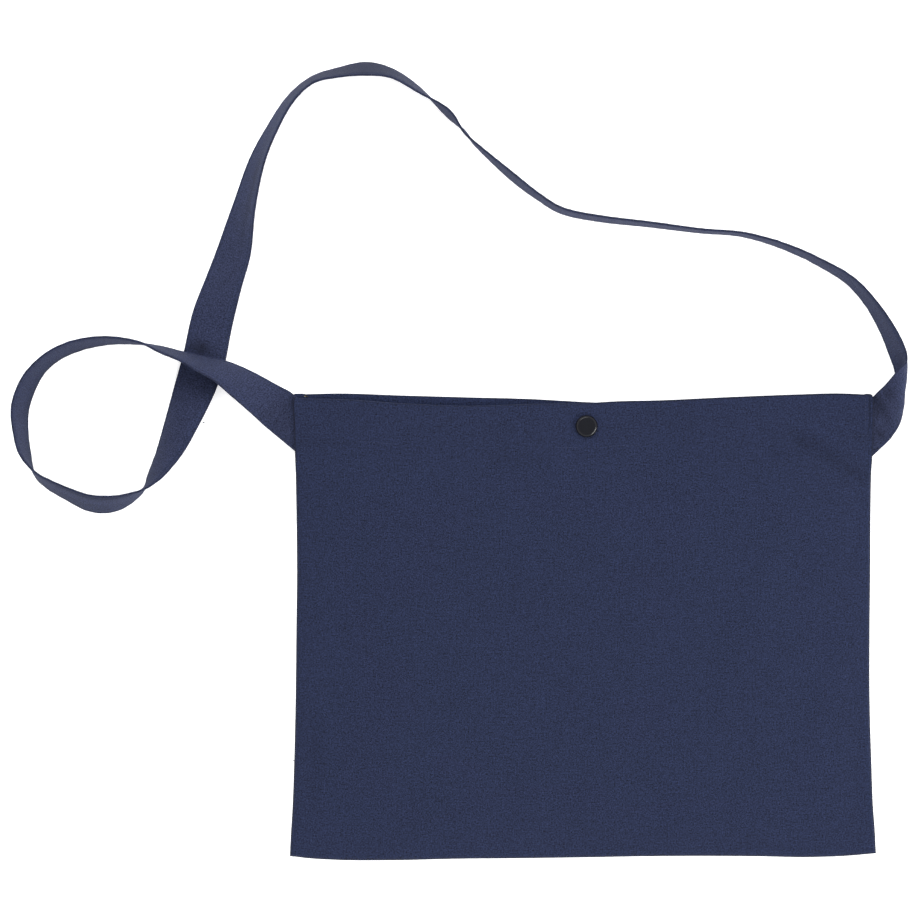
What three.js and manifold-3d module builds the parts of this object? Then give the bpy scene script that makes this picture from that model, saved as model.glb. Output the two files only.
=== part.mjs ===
// A flat cotton canvas musette bag with a long woven strap, lying on a table.
// Millimetres, +Z up. The bag lies on its back: X runs along the mouth, Y from the bottom up to the mouth.

import * as THREE from "three";
import { mergeVertices } from "three/addons/utils/BufferGeometryUtils.js";
import Module from "manifold-3d";

const wasm = await Module();
wasm.setup();

// Driving dimensions of the bag
const bagWidth = 400;
const bagHeight = 321;
const canvas = 1;
const hemDepth = 30;
const fullness = 8;
const clearance = 0.3;

// Seam allowances that lie inside the bag
const allowanceWidth = 8;
const allowanceThickness = 1.2;
const allowanceInset = 2;

// Driving dimensions of the strap
const strapWidth = 30;
const strapThickness = 1.6;
const strapRise = 230;
const strapHiddenLeft = 15;
const strapHiddenRight = 19;
const strapAngleLeft = THREE.MathUtils.degToRad(39.5);
const strapAngleRight = THREE.MathUtils.degToRad(43);
const strapSwingLeft = THREE.MathUtils.degToRad(3);
const strapSwingRight = THREE.MathUtils.degToRad(14);
const stationsPerRow = 3;
const facetsAcross = 4;

// Driving dimensions of the press snap
const snapAcross = 2.2;
const snapDown = 16.2;
const capDiameter = 15.4;
const capHeight = 2.6;
const capEdge = 1;
const capBevel = 1.7;
const postDiameter = 3.4;
const postFlangeDiameter = 12;
const postFlangeThickness = 1.2;
const studDiameter = 10;
const studFlangeThickness = 0.8;
const studNippleDiameter = 5.4;
const studNippleHeight = 1.4;
const studRoof = 0.9;
const socketDiameter = 11;
const socketHeight = 1.9;
const socketRoof = 0.5;
const roundSides = 24;

// Where the strap's inner edge meets each corner of the mouth, as shares of half the width and the height
const strapCornerLeft = [1.005, 1.005];
const strapCornerRight = [1.007, 1.000];

// Worked out from the sizes above
const halfWidth = bagWidth / 2;
const hemThickness = 2 * canvas;
const layer = strapThickness + clearance;
const strapSeat = hemThickness + clearance;

// The snap's parts stacked from the table up, with a gap at every joint
const backHemUnder = postFlangeThickness + clearance;
const studZ = backHemUnder + hemThickness + clearance;
const socketZ = studZ + studFlangeThickness + clearance;
const frontHemUnder = socketZ + socketHeight + clearance;
const capZ = frontHemUnder + hemThickness + clearance;

// The side edges bow a little: half widths at shares of the bag's height
const sideColumns = ["up", "left", "right"];
const sideRows = [
  [0.00, 1.023, 1.022],
  [0.05, 1.019, 1.018],
  [0.10, 1.014, 1.012],
  [0.20, 1.008, 1.006],
  [0.30, 1.004, 1.001],
  [0.50, 1.000, 1.000],
  [0.62, 0.998, 1.002],
  [0.75, 1.000, 1.003],
  [0.85, 1.003, 1.006],
  [0.93, 1.007, 1.011],
  [0.97, 1.011, 1.012],
  [1.00, 1.005, 1.004],
];

// The bottom edge, as shares of the bag's height above its lowest line
const bottomColumns = ["across", "lift"];
const bottomRows = [
  [-1.00, 0.0025],
  [-0.94, -0.0020],
  [-0.83, -0.0060],
  [-0.64, -0.0065],
  [-0.44, -0.0036],
  [-0.22, -0.0023],
  [0.03, -0.0001],
  [0.20, 0.0019],
  [0.60, 0.0019],
  [0.77, 0.0001],
  [0.90, 0.0030],
  [1.00, 0.0085],
];

// The two rims of the mouth sag between their ends
const rimColumns = ["across", "front", "back"];
const rimRows = [
  [-1.00, 0.997, 1.006],
  [-0.83, 0.995, 1.008],
  [-0.64, 0.987, 1.004],
  [-0.42, 0.981, 1.000],
  [-0.18, 0.985, 0.996],
  [0.02, 0.987, 0.989],
  [0.09, 0.990, 0.987],
  [0.27, 0.993, 0.986],
  [0.51, 1.000, 0.990],
  [0.76, 1.006, 0.994],
  [0.88, 1.008, 0.997],
  [1.00, 1.005, 1.000],
];

// How far the front stands off the back along the bag's middle line.
// "full" is a share of the fullness, "mouth" of the height that the closed snap sets.
const puffColumns = ["up", "full", "mouth"];
const puffRows = [
  [0.00, 0.00, 0.00],
  [0.06, 0.35, 0.00],
  [0.20, 0.75, 0.00],
  [0.45, 1.00, 0.00],
  [0.75, 0.80, 0.15],
  [0.90, 0.30, 0.60],
  [1.00, 0.00, 1.00],
];

// Creases of the front: their two ends as shares of half the width and of the height,
// their half width as a share of the hem's depth and their height as a share of the fullness
const creaseColumns = ["fromAcross", "fromUp", "toAcross", "toUp", "reach", "height"];
const creaseRows = [
  [0.74, 0.905, 0.96, 0.825, 0.30, -0.14],
  [0.70, 0.875, 0.92, 0.800, 0.40, 0.10],
  [-0.30, 0.880, -0.15, 0.872, 0.30, -0.08],
  [-0.93, 0.140, -0.925, 0.300, 0.30, -0.12],
];

// The strap's route from its left end round to its right end, a row for each section.
// "across" is a share of half the bag's width and "up" of the strap's rise above the mouth.
// "east", "north" and "rise" give the way that the strap's width points there.
// "bow" is the angle in degrees that the section curves through, "lift" its height in strap layers.
const strapColumns = ["across", "up", "east", "north", "rise", "bow", "lift"];
const strapRows = [
  [-1.100, -0.011, -0.58, -0.66, 0.40, -15, 1.3],
  [-1.185, 0.043, -0.49, -0.55, 0.67, -20, 1.6],
  [-1.255, 0.081, -0.30, -0.45, 0.84, -20, 1.9],
  [-1.325, 0.101, -0.14, -0.34, 0.93, -10, 1.8],
  [-1.392, 0.121, -0.04, -0.22, 0.98, 0, 1.4],
  [-1.465, 0.142, 0.03, -0.16, 0.99, 0, 0.5],
  [-1.545, 0.163, 0.06, 0.02, 1.00, 0, 0],
  [-1.645, 0.170, 0.05, 0.13, 0.99, 0, 0],
  [-1.738, 0.159, 0.02, 0.20, 0.98, 0, 0],
  [-1.821, 0.133, -0.05, 0.21, 0.98, 0, 0],
  [-1.884, 0.092, -0.13, 0.19, 0.97, 0, 0],
  [-1.928, 0.038, -0.25, 0.14, 0.96, 0, 0],
  [-1.956, -0.035, -0.28, 0.06, 0.96, 0, 0],
  [-1.953, -0.110, -0.21, -0.05, 0.98, 0, 0],
  [-1.938, -0.172, -0.12, -0.05, 0.99, 0, 0],
  [-1.905, -0.230, 0.13, 0.05, 0.99, 0, 0],
  [-1.858, -0.263, 0.19, 0.17, 0.97, 0, 0],
  [-1.789, -0.294, 0.18, 0.26, 0.95, 0, 0],
  [-1.722, -0.319, 0.14, 0.36, 0.92, 0, 0],
  [-1.657, -0.325, 0.08, 0.39, 0.92, 0, 0],
  [-1.595, -0.314, 0.02, 0.28, 0.96, 0, 0],
  [-1.531, -0.282, 0.07, 0.04, 1.00, 5, 0],
  [-1.496, -0.239, 0.34, -0.11, 0.93, 20, 0],
  [-1.468, -0.197, 0.49, -0.18, 0.85, 30, 0],
  [-1.439, -0.147, 0.65, -0.21, 0.73, 40, 0],
  [-1.410, -0.085, 0.78, -0.24, 0.58, 50, 0],
  [-1.380, -0.024, 0.88, -0.25, 0.39, 48, 0],
  [-1.350, 0.040, 0.94, -0.26, 0.18, 30, 0],
  [-1.321, 0.120, 0.97, -0.26, 0.00, 10, 0],
  [-1.294, 0.231, 0.95, -0.27, 0.15, 0, 0],
  [-1.253, 0.342, 0.85, -0.28, 0.44, 0, 0],
  [-1.210, 0.445, 0.78, -0.27, 0.57, -20, 0],
  [-1.172, 0.572, 0.55, -0.21, 0.81, -30, 0],
  [-1.129, 0.706, 0.39, -0.18, 0.91, -25, 0],
  [-1.080, 0.806, 0.27, -0.18, 0.95, -10, 0],
  [-1.019, 0.897, 0.17, -0.21, 0.96, 0, 0],
  [-0.944, 0.955, 0.09, -0.23, 0.97, 0, 0],
  [-0.855, 0.978, 0.05, -0.30, 0.95, 0, 0],
  [-0.755, 0.990, 0.01, -0.39, 0.92, 0, 0],
  [-0.663, 0.975, -0.03, -0.29, 0.96, 0, 0],
  [-0.570, 0.925, -0.02, -0.20, 0.98, 0, 0],
  [-0.472, 0.857, 0.06, 0.05, 1.00, 0, 0],
  [-0.415, 0.801, -0.03, -0.10, 0.99, 0, 0],
  [-0.370, 0.758, 0.02, -0.04, 1.00, 0, 0],
  [-0.250, 0.666, 0.05, 0.06, 1.00, 0, 0],
  [-0.154, 0.602, 0.02, 0.05, 1.00, 0, 0],
  [-0.070, 0.560, 0.01, 0.05, 1.00, 0, 0],
  [0.060, 0.537, 0.00, 0.05, 1.00, 0, 0],
  [0.230, 0.520, 0.00, 0.03, 1.00, 0, 0],
  [0.403, 0.501, 0.00, 0.01, 1.00, 0, 0],
  [0.557, 0.489, 0.00, 0.01, 1.00, 0, 0],
  [0.708, 0.450, 0.00, 0.04, 1.00, 0, 0],
  [0.840, 0.396, 0.00, 0.08, 1.00, 0, 0],
  [0.932, 0.345, 0.06, 0.08, 1.00, 0, 0],
  [1.002, 0.276, 0.15, 0.04, 0.99, 0, 0],
  [1.056, 0.200, 0.24, 0.03, 0.97, 0, 0],
  [1.091, 0.136, 0.27, 0.05, 0.96, 10, 0],
  [1.115, 0.096, 0.15, 0.13, 0.98, 60, 0],
  [1.119, 0.060, -0.08, 0.33, 0.94, 95, 0],
  [1.110, 0.020, -0.34, 0.56, 0.76, 85, 0],
  [1.087, -0.014, -0.43, 0.78, 0.45, 50, 0.3],
  [1.062, -0.039, -0.50, 0.81, 0.25, 20, 0.9],
];

// Reads one column of a table at a place, straight between rows
function readColumn(columns, rows, name, place) {
  const column = columns.indexOf(name);
  const first = rows[0];
  if (place <= first[0]) {
    return first[column];
  }
  for (let i = 1; i < rows.length; i += 1) {
    const [from, to] = [rows[i - 1], rows[i]];
    if (place <= to[0]) {
      const share = (place - from[0]) / (to[0] - from[0]);
      return from[column] + (to[column] - from[column]) * share;
    }
  }
  return rows[rows.length - 1][column];
}

// A smooth step from 0 at the first place to 1 at the second
function ramp(place, start, end) {
  const share = Math.min(Math.max((place - start) / (end - start), 0), 1);
  return share * share * (3 - 2 * share);
}

// Height of the bottom edge and of a rim over a place across the bag
function bottomY(across) {
  return bagHeight * readColumn(bottomColumns, bottomRows, "lift", across);
}

function rimY(across, side) {
  return bagHeight * readColumn(rimColumns, rimRows, side, across);
}

// A place on a panel: across runs from -1 to 1, up from 0 to 1
function panelPlace(across, up, side) {
  const edge = across < 0 ? "left" : "right";
  const x = across * halfWidth * readColumn(sideColumns, sideRows, edge, up);
  const bottom = bottomY(across);
  const y = bottom + up * (rimY(across, side) - bottom);
  return [x, y];
}

// Where the snap sits
const snapX = snapAcross;
const snapY = rimY(snapX / halfWidth, "front") - snapDown;
const snapPadRadius = capDiameter * 0.8;
const snapPadReach = capDiameter * 1.7;

// 1 under the snap, falling to 0 round it
function snapPad(x, y) {
  return 1 - ramp(Math.hypot(x - snapX, y - snapY), snapPadRadius, snapPadReach);
}

// 1 beside the strap's sewn ends, 0 lower down the side seams
const strapWindow = strapWidth / Math.cos(strapAngleRight) + clearance;
const windowRamp = hemDepth / 2;

function strapDoor(y) {
  return ramp(y, bagHeight - strapWindow - windowRamp, bagHeight - strapWindow);
}

// The creases' height at a place on the front
function creaseHeight(across, up) {
  let height = 0;
  for (const row of creaseRows) {
    const crease = Object.fromEntries(creaseColumns.map((name, i) => [name, row[i]]));
    const from = new THREE.Vector2(crease.fromAcross * halfWidth, crease.fromUp * bagHeight);
    const to = new THREE.Vector2(crease.toAcross * halfWidth, crease.toUp * bagHeight);
    const place = new THREE.Vector2(across * halfWidth, up * bagHeight);
    const line = to.clone().sub(from);
    const share = place.clone().sub(from).dot(line) / line.lengthSq();
    const nearest = from.clone().addScaledVector(line, Math.min(Math.max(share, 0), 1));
    const reach = crease.reach * hemDepth;
    height += crease.height * fullness * (1 - ramp(place.distanceTo(nearest), 0, reach));
  }
  return height;
}

// Underside of the front's single canvas at a place
function frontUnder(across, up, x, y) {
  const sideInset = (1 - Math.abs(across)) * halfWidth;
  const bottomInset = up * bagHeight;
  const overAllowance = Math.min(ramp(sideInset, 0, allowanceInset), ramp(bottomInset, 0, allowanceInset));
  const closed = canvas + clearance + overAllowance * (allowanceThickness + clearance);
  const overStrap = strapSeat + strapThickness + clearance + canvas;
  const edge = closed + (overStrap - closed) * strapDoor(y);
  const crown = 1 - Math.abs(across) ** 4;
  const mouthLift = frontHemUnder + canvas - edge;
  const full = readColumn(puffColumns, puffRows, "full", up) * fullness;
  const mouth = readColumn(puffColumns, puffRows, "mouth", up) * mouthLift;
  const pillow = edge + crown * (full + mouth + creaseHeight(across, up));
  const atSnap = frontHemUnder + canvas;
  return pillow + (atSnap - pillow) * snapPad(x, y);
}

// A panel's grid lines, closer together at the edges, at the hem and round the snap
const hemStep = canvas;
const allowanceInner = allowanceInset + allowanceWidth;
const openShares = [0.10, 0.17, 0.25, 0.37, 0.50, 0.64, 0.79];
const openInsets = openShares.map((share) => share * halfWidth);
const edgeInsets = [0, allowanceInset, allowanceInner, ...openInsets];
const snapPadLine = snapPadRadius * 0.7;
const snapSteps = [-snapPadReach, -snapPadLine, 0, snapPadLine, snapPadReach];
const hemUp = 1 - hemDepth / bagHeight;
const inOrder = (numbers) => [...new Set(numbers)].sort((a, b) => a - b);

const acrossLines = inOrder([
  ...edgeInsets.map((inset) => -1 + inset / halfWidth),
  ...snapSteps.map((step) => (snapX + step) / halfWidth),
  ...edgeInsets.map((inset) => 1 - inset / halfWidth),
]);

const upLines = inOrder([
  0,
  allowanceInset / bagHeight,
  allowanceInner / bagHeight,
  ...[0.06, 0.12, 0.20, 0.31, 0.44, 0.56, 0.67, 0.75, 0.80],
  1 - strapWindow / bagHeight,
  1 - (strapWindow + windowRamp) / bagHeight,
  hemUp - hemStep / bagHeight,
  hemUp,
  hemUp + hemStep / bagHeight,
  1 - (snapDown + snapPadLine) / bagHeight,
  1 - snapDown / bagHeight,
  1 - (snapDown - snapPadLine) / bagHeight,
  1,
]);

// A closed solid between two grids of points, top and bottom, with walls round the rim
function gridSolid(columns, rows, topAt, bottomAt) {
  const positions = [];
  const indices = [];
  const count = columns * rows;
  for (const pointAt of [topAt, bottomAt]) {
    for (let j = 0; j < rows; j += 1) {
      for (let i = 0; i < columns; i += 1) {
        positions.push(...pointAt(i, j));
      }
    }
  }
  const at = (i, j) => j * columns + i;
  for (let j = 0; j < rows - 1; j += 1) {
    for (let i = 0; i < columns - 1; i += 1) {
      const [a, b, c, d] = [at(i, j), at(i + 1, j), at(i + 1, j + 1), at(i, j + 1)];
      indices.push(a, b, c, a, c, d);
      indices.push(count + a, count + c, count + b, count + a, count + d, count + c);
    }
  }
  const rim = [];
  for (let i = 0; i < columns - 1; i += 1) {
    rim.push(at(i, 0));
  }
  for (let j = 0; j < rows - 1; j += 1) {
    rim.push(at(columns - 1, j));
  }
  for (let i = columns - 1; i > 0; i -= 1) {
    rim.push(at(i, rows - 1));
  }
  for (let j = rows - 1; j > 0; j -= 1) {
    rim.push(at(0, j));
  }
  rim.forEach((from, i) => {
    const to = rim[(i + 1) % rim.length];
    indices.push(count + from, count + to, to, count + from, to, from);
  });
  const geometry = new THREE.BufferGeometry();
  geometry.setAttribute("position", new THREE.Float32BufferAttribute(positions, 3));
  geometry.setIndex(indices);
  return geometry;
}

// Joins and cuts
function toSolid(geometry) {
  const bare = geometry.clone();
  bare.deleteAttribute("normal");
  bare.deleteAttribute("uv");
  const merged = mergeVertices(bare, 1e-4);
  return new wasm.Manifold(new wasm.Mesh({
    numProp: 3,
    vertProperties: new Float32Array(merged.attributes.position.array),
    triVerts: new Uint32Array(merged.index.array),
  }));
}

function fromSolid(solid) {
  const mesh = solid.getMesh();
  const geometry = new THREE.BufferGeometry();
  geometry.setAttribute("position", new THREE.Float32BufferAttribute(mesh.vertProperties, 3));
  geometry.setIndex(Array.from(mesh.triVerts));
  return geometry;
}

// The snap's posts pass through the hems in round holes
const holeRadius = postDiameter / 2 + clearance;

function snapHole(geometry, under) {
  const drill = new THREE.CylinderGeometry(holeRadius, holeRadius, 4 * hemThickness, roundSides);
  drill.rotateX(Math.PI / 2);
  drill.translate(snapX, snapY, under + hemThickness / 2);
  return fromSolid(toSolid(geometry).subtract(toSolid(drill)));
}

// The front: one canvas, doubled inwards in the hem, with a slight groove along the stitching
const stitchGroove = canvas * 0.25;

function inHem(up) {
  return up >= hemUp;
}

function frontPanel() {
  const topAt = (i, j) => {
    const [across, up] = [acrossLines[i], upLines[j]];
    const [x, y] = panelPlace(across, up, "front");
    const groove = up === hemUp ? stitchGroove : 0;
    return [x, y, frontUnder(across, up, x, y) + canvas - groove];
  };
  const bottomAt = (i, j) => {
    const [across, up] = [acrossLines[i], upLines[j]];
    const [x, y] = panelPlace(across, up, "front");
    return [x, y, frontUnder(across, up, x, y) - (inHem(up) ? canvas : 0)];
  };
  const cloth = gridSolid(acrossLines.length, upLines.length, topAt, bottomAt);
  return snapHole(cloth, frontHemUnder);
}

// The back lies flat on the table and lifts only over the snap's rear flange
function backPanel() {
  const bottomAt = (i, j) => {
    const [x, y] = panelPlace(acrossLines[i], upLines[j], "back");
    return [x, y, backHemUnder * snapPad(x, y)];
  };
  const topAt = (i, j) => {
    const [x, y, z] = bottomAt(i, j);
    return [x, y, z + (inHem(upLines[j]) ? hemThickness : canvas)];
  };
  const cloth = gridSolid(acrossLines.length, upLines.length, topAt, bottomAt);
  return snapHole(cloth, backHemUnder);
}

// The raw edges sewn inside along the sides and the bottom, each a folded strip
const seamSteps = 8;
const seamTop = 1 - (strapWindow + windowRamp + clearance) / bagHeight;
const seamFoot = (allowanceInner + allowanceInset) / bagHeight;

function seamSide(direction) {
  const strip = (z) => (i, j) => {
    const up = seamFoot + (seamTop - seamFoot) * j / seamSteps;
    const inset = allowanceInset + allowanceWidth * (direction > 0 ? 1 - i : i);
    const across = direction * (1 - inset / halfWidth);
    return [...panelPlace(across, up, "back"), z];
  };
  const floor = canvas + clearance;
  return gridSolid(2, seamSteps + 1, strip(floor + allowanceThickness), strip(floor));
}

function seamBottom() {
  const inside = acrossLines.filter((across) => Math.abs(across) < 1 - allowanceInset / halfWidth / 2);
  const strip = (z) => (i, j) => {
    const up = (allowanceInset + allowanceWidth * j) / bagHeight;
    return [...panelPlace(inside[i], up, "back"), z];
  };
  const floor = canvas + clearance;
  return gridSolid(inside.length, 2, strip(floor + allowanceThickness), strip(floor));
}

// The strap's sewn ends, from the mouth's corner and the angle that each end leaves at.
// One section meets the corner, swung a little towards the seam, the next crosses the seam and
// the last lies hidden in the bag.
function strapEndRows(corner, cornerShares, angle, swing, hidden) {
  const away = [corner * Math.cos(angle), Math.sin(angle)];
  const [cornerX, cornerY] = [corner * cornerShares[0] * halfWidth, cornerShares[1] * bagHeight];
  const toMiddle = -corner * (strapWidth / 2 + clearance);
  const toSeam = Math.tan(angle) * strapWidth / 2;
  return [[0, swing], [toSeam, 0], [toSeam + hidden, 0]].map(([back, turn]) => {
    const widthways = [-Math.sin(angle - turn), corner * Math.cos(angle - turn)];
    return [
      (cornerX + toMiddle * widthways[0] - away[0] * back) / halfWidth,
      (cornerY - bagHeight + toMiddle * widthways[1] - away[1] * back) / strapRise,
      ...widthways,
      0,
      0,
      strapSeat / layer,
    ];
  });
}

// A smooth row between four neighbouring rows, at a share of the way from the second to the third
function blendRows(rows, share) {
  const [before, from, to, after] = rows;
  return from.map((value, k) => {
    const slopeFrom = (to[k] - before[k]) / 2;
    const slopeTo = (after[k] - value) / 2;
    const square = share * share;
    const cube = square * share;
    return value * (2 * cube - 3 * square + 1)
      + slopeFrom * (cube - 2 * square + share)
      + to[k] * (3 * square - 2 * cube)
      + slopeTo * (cube - square);
  });
}

function strapStations() {
  const rows = [
    ...strapEndRows(-1, strapCornerLeft, strapAngleLeft, strapSwingLeft, strapHiddenLeft).reverse(),
    ...strapRows,
    ...strapEndRows(1, strapCornerRight, strapAngleRight, strapSwingRight, strapHiddenRight),
  ];
  const stations = [];
  for (let i = 0; i < rows.length - 1; i += 1) {
    const around = [rows[Math.max(i - 1, 0)], rows[i], rows[i + 1], rows[Math.min(i + 2, rows.length - 1)]];
    for (let step = 0; step < stationsPerRow; step += 1) {
      stations.push(blendRows(around, step / stationsPerRow));
    }
  }
  stations.push(rows[rows.length - 1]);
  return stations.map((row) => Object.fromEntries(strapColumns.map((name, k) => [name, row[k]])));
}

// One section of the strap: points on its two faces, bowed round the middle line and set at its height
function strapSection(station, along) {
  const width = new THREE.Vector3(station.east, station.north, Math.max(station.rise, 0)).normalize();
  const out = new THREE.Vector3().crossVectors(along, width).normalize();
  const bend = THREE.MathUtils.degToRad(station.bow) || 1e-6;
  const faces = [[], []];
  for (let k = 0; k <= facetsAcross; k += 1) {
    const turn = bend * (k / facetsAcross - 0.5);
    const sideways = Math.sin(turn) / bend * strapWidth;
    const bulge = (1 - Math.cos(turn)) / bend * strapWidth;
    const normal = out.clone().multiplyScalar(Math.cos(turn)).addScaledVector(width, -Math.sin(turn));
    [-1, 1].forEach((face, f) => {
      const point = new THREE.Vector3(station.across * halfWidth, station.up * strapRise + bagHeight, 0);
      point.addScaledVector(width, sideways);
      point.addScaledVector(out, bulge);
      point.addScaledVector(normal, face * strapThickness / 2);
      faces[f].push(point);
    });
  }
  const ring = [...faces[0], ...faces[1].reverse()];
  const lowest = Math.min(...ring.map((point) => point.z));
  const seat = Math.max(station.lift, 0) * layer;
  ring.forEach((point) => {
    point.z += seat - lowest;
  });
  return ring;
}

function strap() {
  const stations = strapStations();
  const middles = stations.map(({ across, up }) => new THREE.Vector3(across * halfWidth, up * strapRise, 0));
  const rings = stations.map((station, i) => {
    const along = middles[Math.min(i + 1, middles.length - 1)].clone().sub(middles[Math.max(i - 1, 0)]);
    return strapSection(station, along.normalize());
  });
  const sides = rings[0].length;
  const positions = rings.flat().flatMap((point) => point.toArray());
  const indices = [];
  for (let i = 0; i < rings.length - 1; i += 1) {
    for (let k = 0; k < sides; k += 1) {
      const [a, b] = [i * sides + k, i * sides + (k + 1) % sides];
      indices.push(a, b, b + sides, a, b + sides, a + sides);
    }
  }
  const last = (rings.length - 1) * sides;
  for (let k = 0; k < facetsAcross; k += 1) {
    const [a, b, c, d] = [k, k + 1, sides - 2 - k, sides - 1 - k];
    indices.push(a, c, b, a, d, c);
    indices.push(last + a, last + b, last + c, last + a, last + c, last + d);
  }
  const geometry = new THREE.BufferGeometry();
  geometry.setAttribute("position", new THREE.Float32BufferAttribute(positions, 3));
  geometry.setIndex(indices);
  return geometry;
}

// Turned pieces of the snap: a profile of radius and height, set upright at the snap
function turned(profile, z) {
  const points = profile.map(([radius, height]) => new THREE.Vector2(radius, height));
  const geometry = new THREE.LatheGeometry(points, roundSides);
  geometry.rotateX(Math.PI / 2);
  geometry.translate(snapX, snapY, z);
  return geometry;
}

const postRadius = postDiameter / 2;
const boreRadius = postRadius + clearance;

// The black cap in front, with its bevelled rim, on a post through the front hem into the socket
function snapCap() {
  const capRadius = capDiameter / 2;
  const postFoot = socketZ + socketHeight - socketRoof / 2 - capZ;
  return turned([
    [0, postFoot],
    [postRadius, postFoot],
    [postRadius, 0],
    [capRadius, 0],
    [capRadius, capEdge],
    [capRadius - capBevel / 2, (capHeight * 2 + capEdge) / 3],
    [capRadius - capBevel, capHeight],
    [0, capHeight],
  ], capZ);
}

// The socket behind the front hem: a ring that the stud presses into
function snapSocket() {
  const socketRadius = socketDiameter / 2;
  const hollow = studNippleDiameter / 2 + clearance;
  return turned([
    [hollow, 0],
    [socketRadius, 0],
    [socketRadius, socketHeight],
    [boreRadius, socketHeight],
    [boreRadius, socketHeight - socketRoof],
    [hollow, socketHeight - socketRoof],
    [hollow, 0],
  ], socketZ);
}

// The stud on the back hem: a flange and a nipple, hollow for the rear post
function snapStud() {
  const studTop = studFlangeThickness + studNippleHeight;
  return turned([
    [0, studTop - studRoof],
    [boreRadius, studTop - studRoof],
    [boreRadius, 0],
    [studDiameter / 2, 0],
    [studDiameter / 2, studFlangeThickness],
    [studNippleDiameter / 2, studFlangeThickness],
    [studNippleDiameter / 2, studTop],
    [0, studTop],
  ], studZ);
}

// The rear flange under the back hem and its post up into the stud
function snapPost() {
  const postTop = studZ + studFlangeThickness + studNippleHeight - studRoof - clearance;
  return turned([
    [0, 0],
    [postFlangeDiameter / 2, 0],
    [postFlangeDiameter / 2, postFlangeThickness],
    [postRadius, postFlangeThickness],
    [postRadius, postTop],
    [0, postTop],
  ], 0);
}

// Finishes
const canvasFinish = new THREE.MeshStandardMaterial({ color: 0x313959, roughness: 0.95, metalness: 0 });
const strapFinish = new THREE.MeshStandardMaterial({ color: 0x3c4260, roughness: 0.95, metalness: 0 });
const seamFinish = new THREE.MeshStandardMaterial({ color: 0x262c46, roughness: 0.95, metalness: 0 });
const capFinish = new THREE.MeshStandardMaterial({ color: 0x101113, roughness: 0.15, metalness: 0.2 });
const snapFinish = new THREE.MeshStandardMaterial({ color: 0x18191c, roughness: 0.35, metalness: 0.8 });

function piece(name, geometry, finish) {
  const mesh = new THREE.Mesh(geometry, finish);
  mesh.name = name;
  return mesh;
}

const bag = new THREE.Group();
bag.add(
  piece("front_panel", frontPanel(), canvasFinish),
  piece("back_panel", backPanel(), canvasFinish),
  piece("seam_left", seamSide(-1), seamFinish),
  piece("seam_right", seamSide(1), seamFinish),
  piece("seam_bottom", seamBottom(), seamFinish),
  piece("strap", strap(), strapFinish),
  piece("snap_cap", snapCap(), capFinish),
  piece("snap_socket", snapSocket(), snapFinish),
  piece("snap_stud", snapStud(), snapFinish),
  piece("snap_post", snapPost(), snapFinish),
);

// The origin is under the middle of the whole thing, on the table
const box = new THREE.Box3().setFromObject(bag);
const centre = box.getCenter(new THREE.Vector3());
bag.position.set(-centre.x, -centre.y, -box.min.z);

export default bag;
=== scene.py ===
# %% [markdown]
# A navy canvas musette bag, laid flat, seen from straight above.
# The real bag is two rectangles of cotton canvas, sewn along the sides and the bottom and turned, with a
# wide hem round the mouth, one black press snap and a long strap folded from the same cloth.
# The solids of the frame say where everything is. Here each cloth piece is made again as a fine surface,
# worked out with numpy, and every surface gets its finish.

# %% Load the frame
import math

import bpy
import numpy as np
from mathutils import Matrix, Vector


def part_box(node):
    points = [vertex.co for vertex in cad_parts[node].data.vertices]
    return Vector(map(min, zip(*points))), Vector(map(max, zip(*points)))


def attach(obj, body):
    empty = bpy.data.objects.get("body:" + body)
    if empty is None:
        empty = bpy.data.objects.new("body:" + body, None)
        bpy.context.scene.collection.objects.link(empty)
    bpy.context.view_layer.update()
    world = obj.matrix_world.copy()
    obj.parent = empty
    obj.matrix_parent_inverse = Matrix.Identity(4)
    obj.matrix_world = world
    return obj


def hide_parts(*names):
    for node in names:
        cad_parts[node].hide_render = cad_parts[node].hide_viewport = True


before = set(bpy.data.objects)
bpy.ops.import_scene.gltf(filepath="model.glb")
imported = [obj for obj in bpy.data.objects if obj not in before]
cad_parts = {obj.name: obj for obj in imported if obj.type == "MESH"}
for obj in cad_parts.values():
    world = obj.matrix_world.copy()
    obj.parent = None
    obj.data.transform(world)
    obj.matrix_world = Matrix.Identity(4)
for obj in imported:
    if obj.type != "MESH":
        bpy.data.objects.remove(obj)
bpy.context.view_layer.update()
print("nodes of the frame:", sorted(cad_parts))

# %% [markdown]
# The sizes are the ones that the bag was cut and sewn to, in metres. The tables hold shares of them, a
# row for each place, so that the fine surfaces follow the same outline and the same route as the solids.

# %% Sizes of the bag
MM = 0.001
bag_width = 400 * MM
bag_height = 321 * MM
canvas = 1.0 * MM
hem_depth = 30 * MM
fullness = 8 * MM
clearance = 0.3 * MM
half_width = bag_width / 2
hem_thickness = 2 * canvas

# %% Sizes of the strap
strap_width = 30 * MM
strap_thickness = 1.6 * MM
strap_rise = 230 * MM
strap_hidden = {"left": 15 * MM, "right": 19 * MM}
strap_angle = {"left": math.radians(39.5), "right": math.radians(43)}
strap_swing = {"left": math.radians(3), "right": math.radians(14)}
strap_corner = {"left": (1.005, 1.005), "right": (1.007, 1.000)}
strap_layer = strap_thickness + clearance
strap_seat = hem_thickness + clearance

# %% Sizes of the snap
snap_across = 2.2 * MM
snap_down = 16.2 * MM
cap_diameter = 15.4 * MM
cap_height = 2.6 * MM
cap_edge = 1.0 * MM
cap_bevel = 1.7 * MM
back_hem_under = 1.5 * MM
front_hem_under = 7.1 * MM

# %% [markdown]
# The outline of a soft bag is never quite straight. Three tables give the side edges, the bottom edge and
# the two rims of the mouth, which sag between their ends. A fourth gives how far the front stands off the
# back along the middle, partly from the cloth's own fullness and partly from the closed snap.

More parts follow.
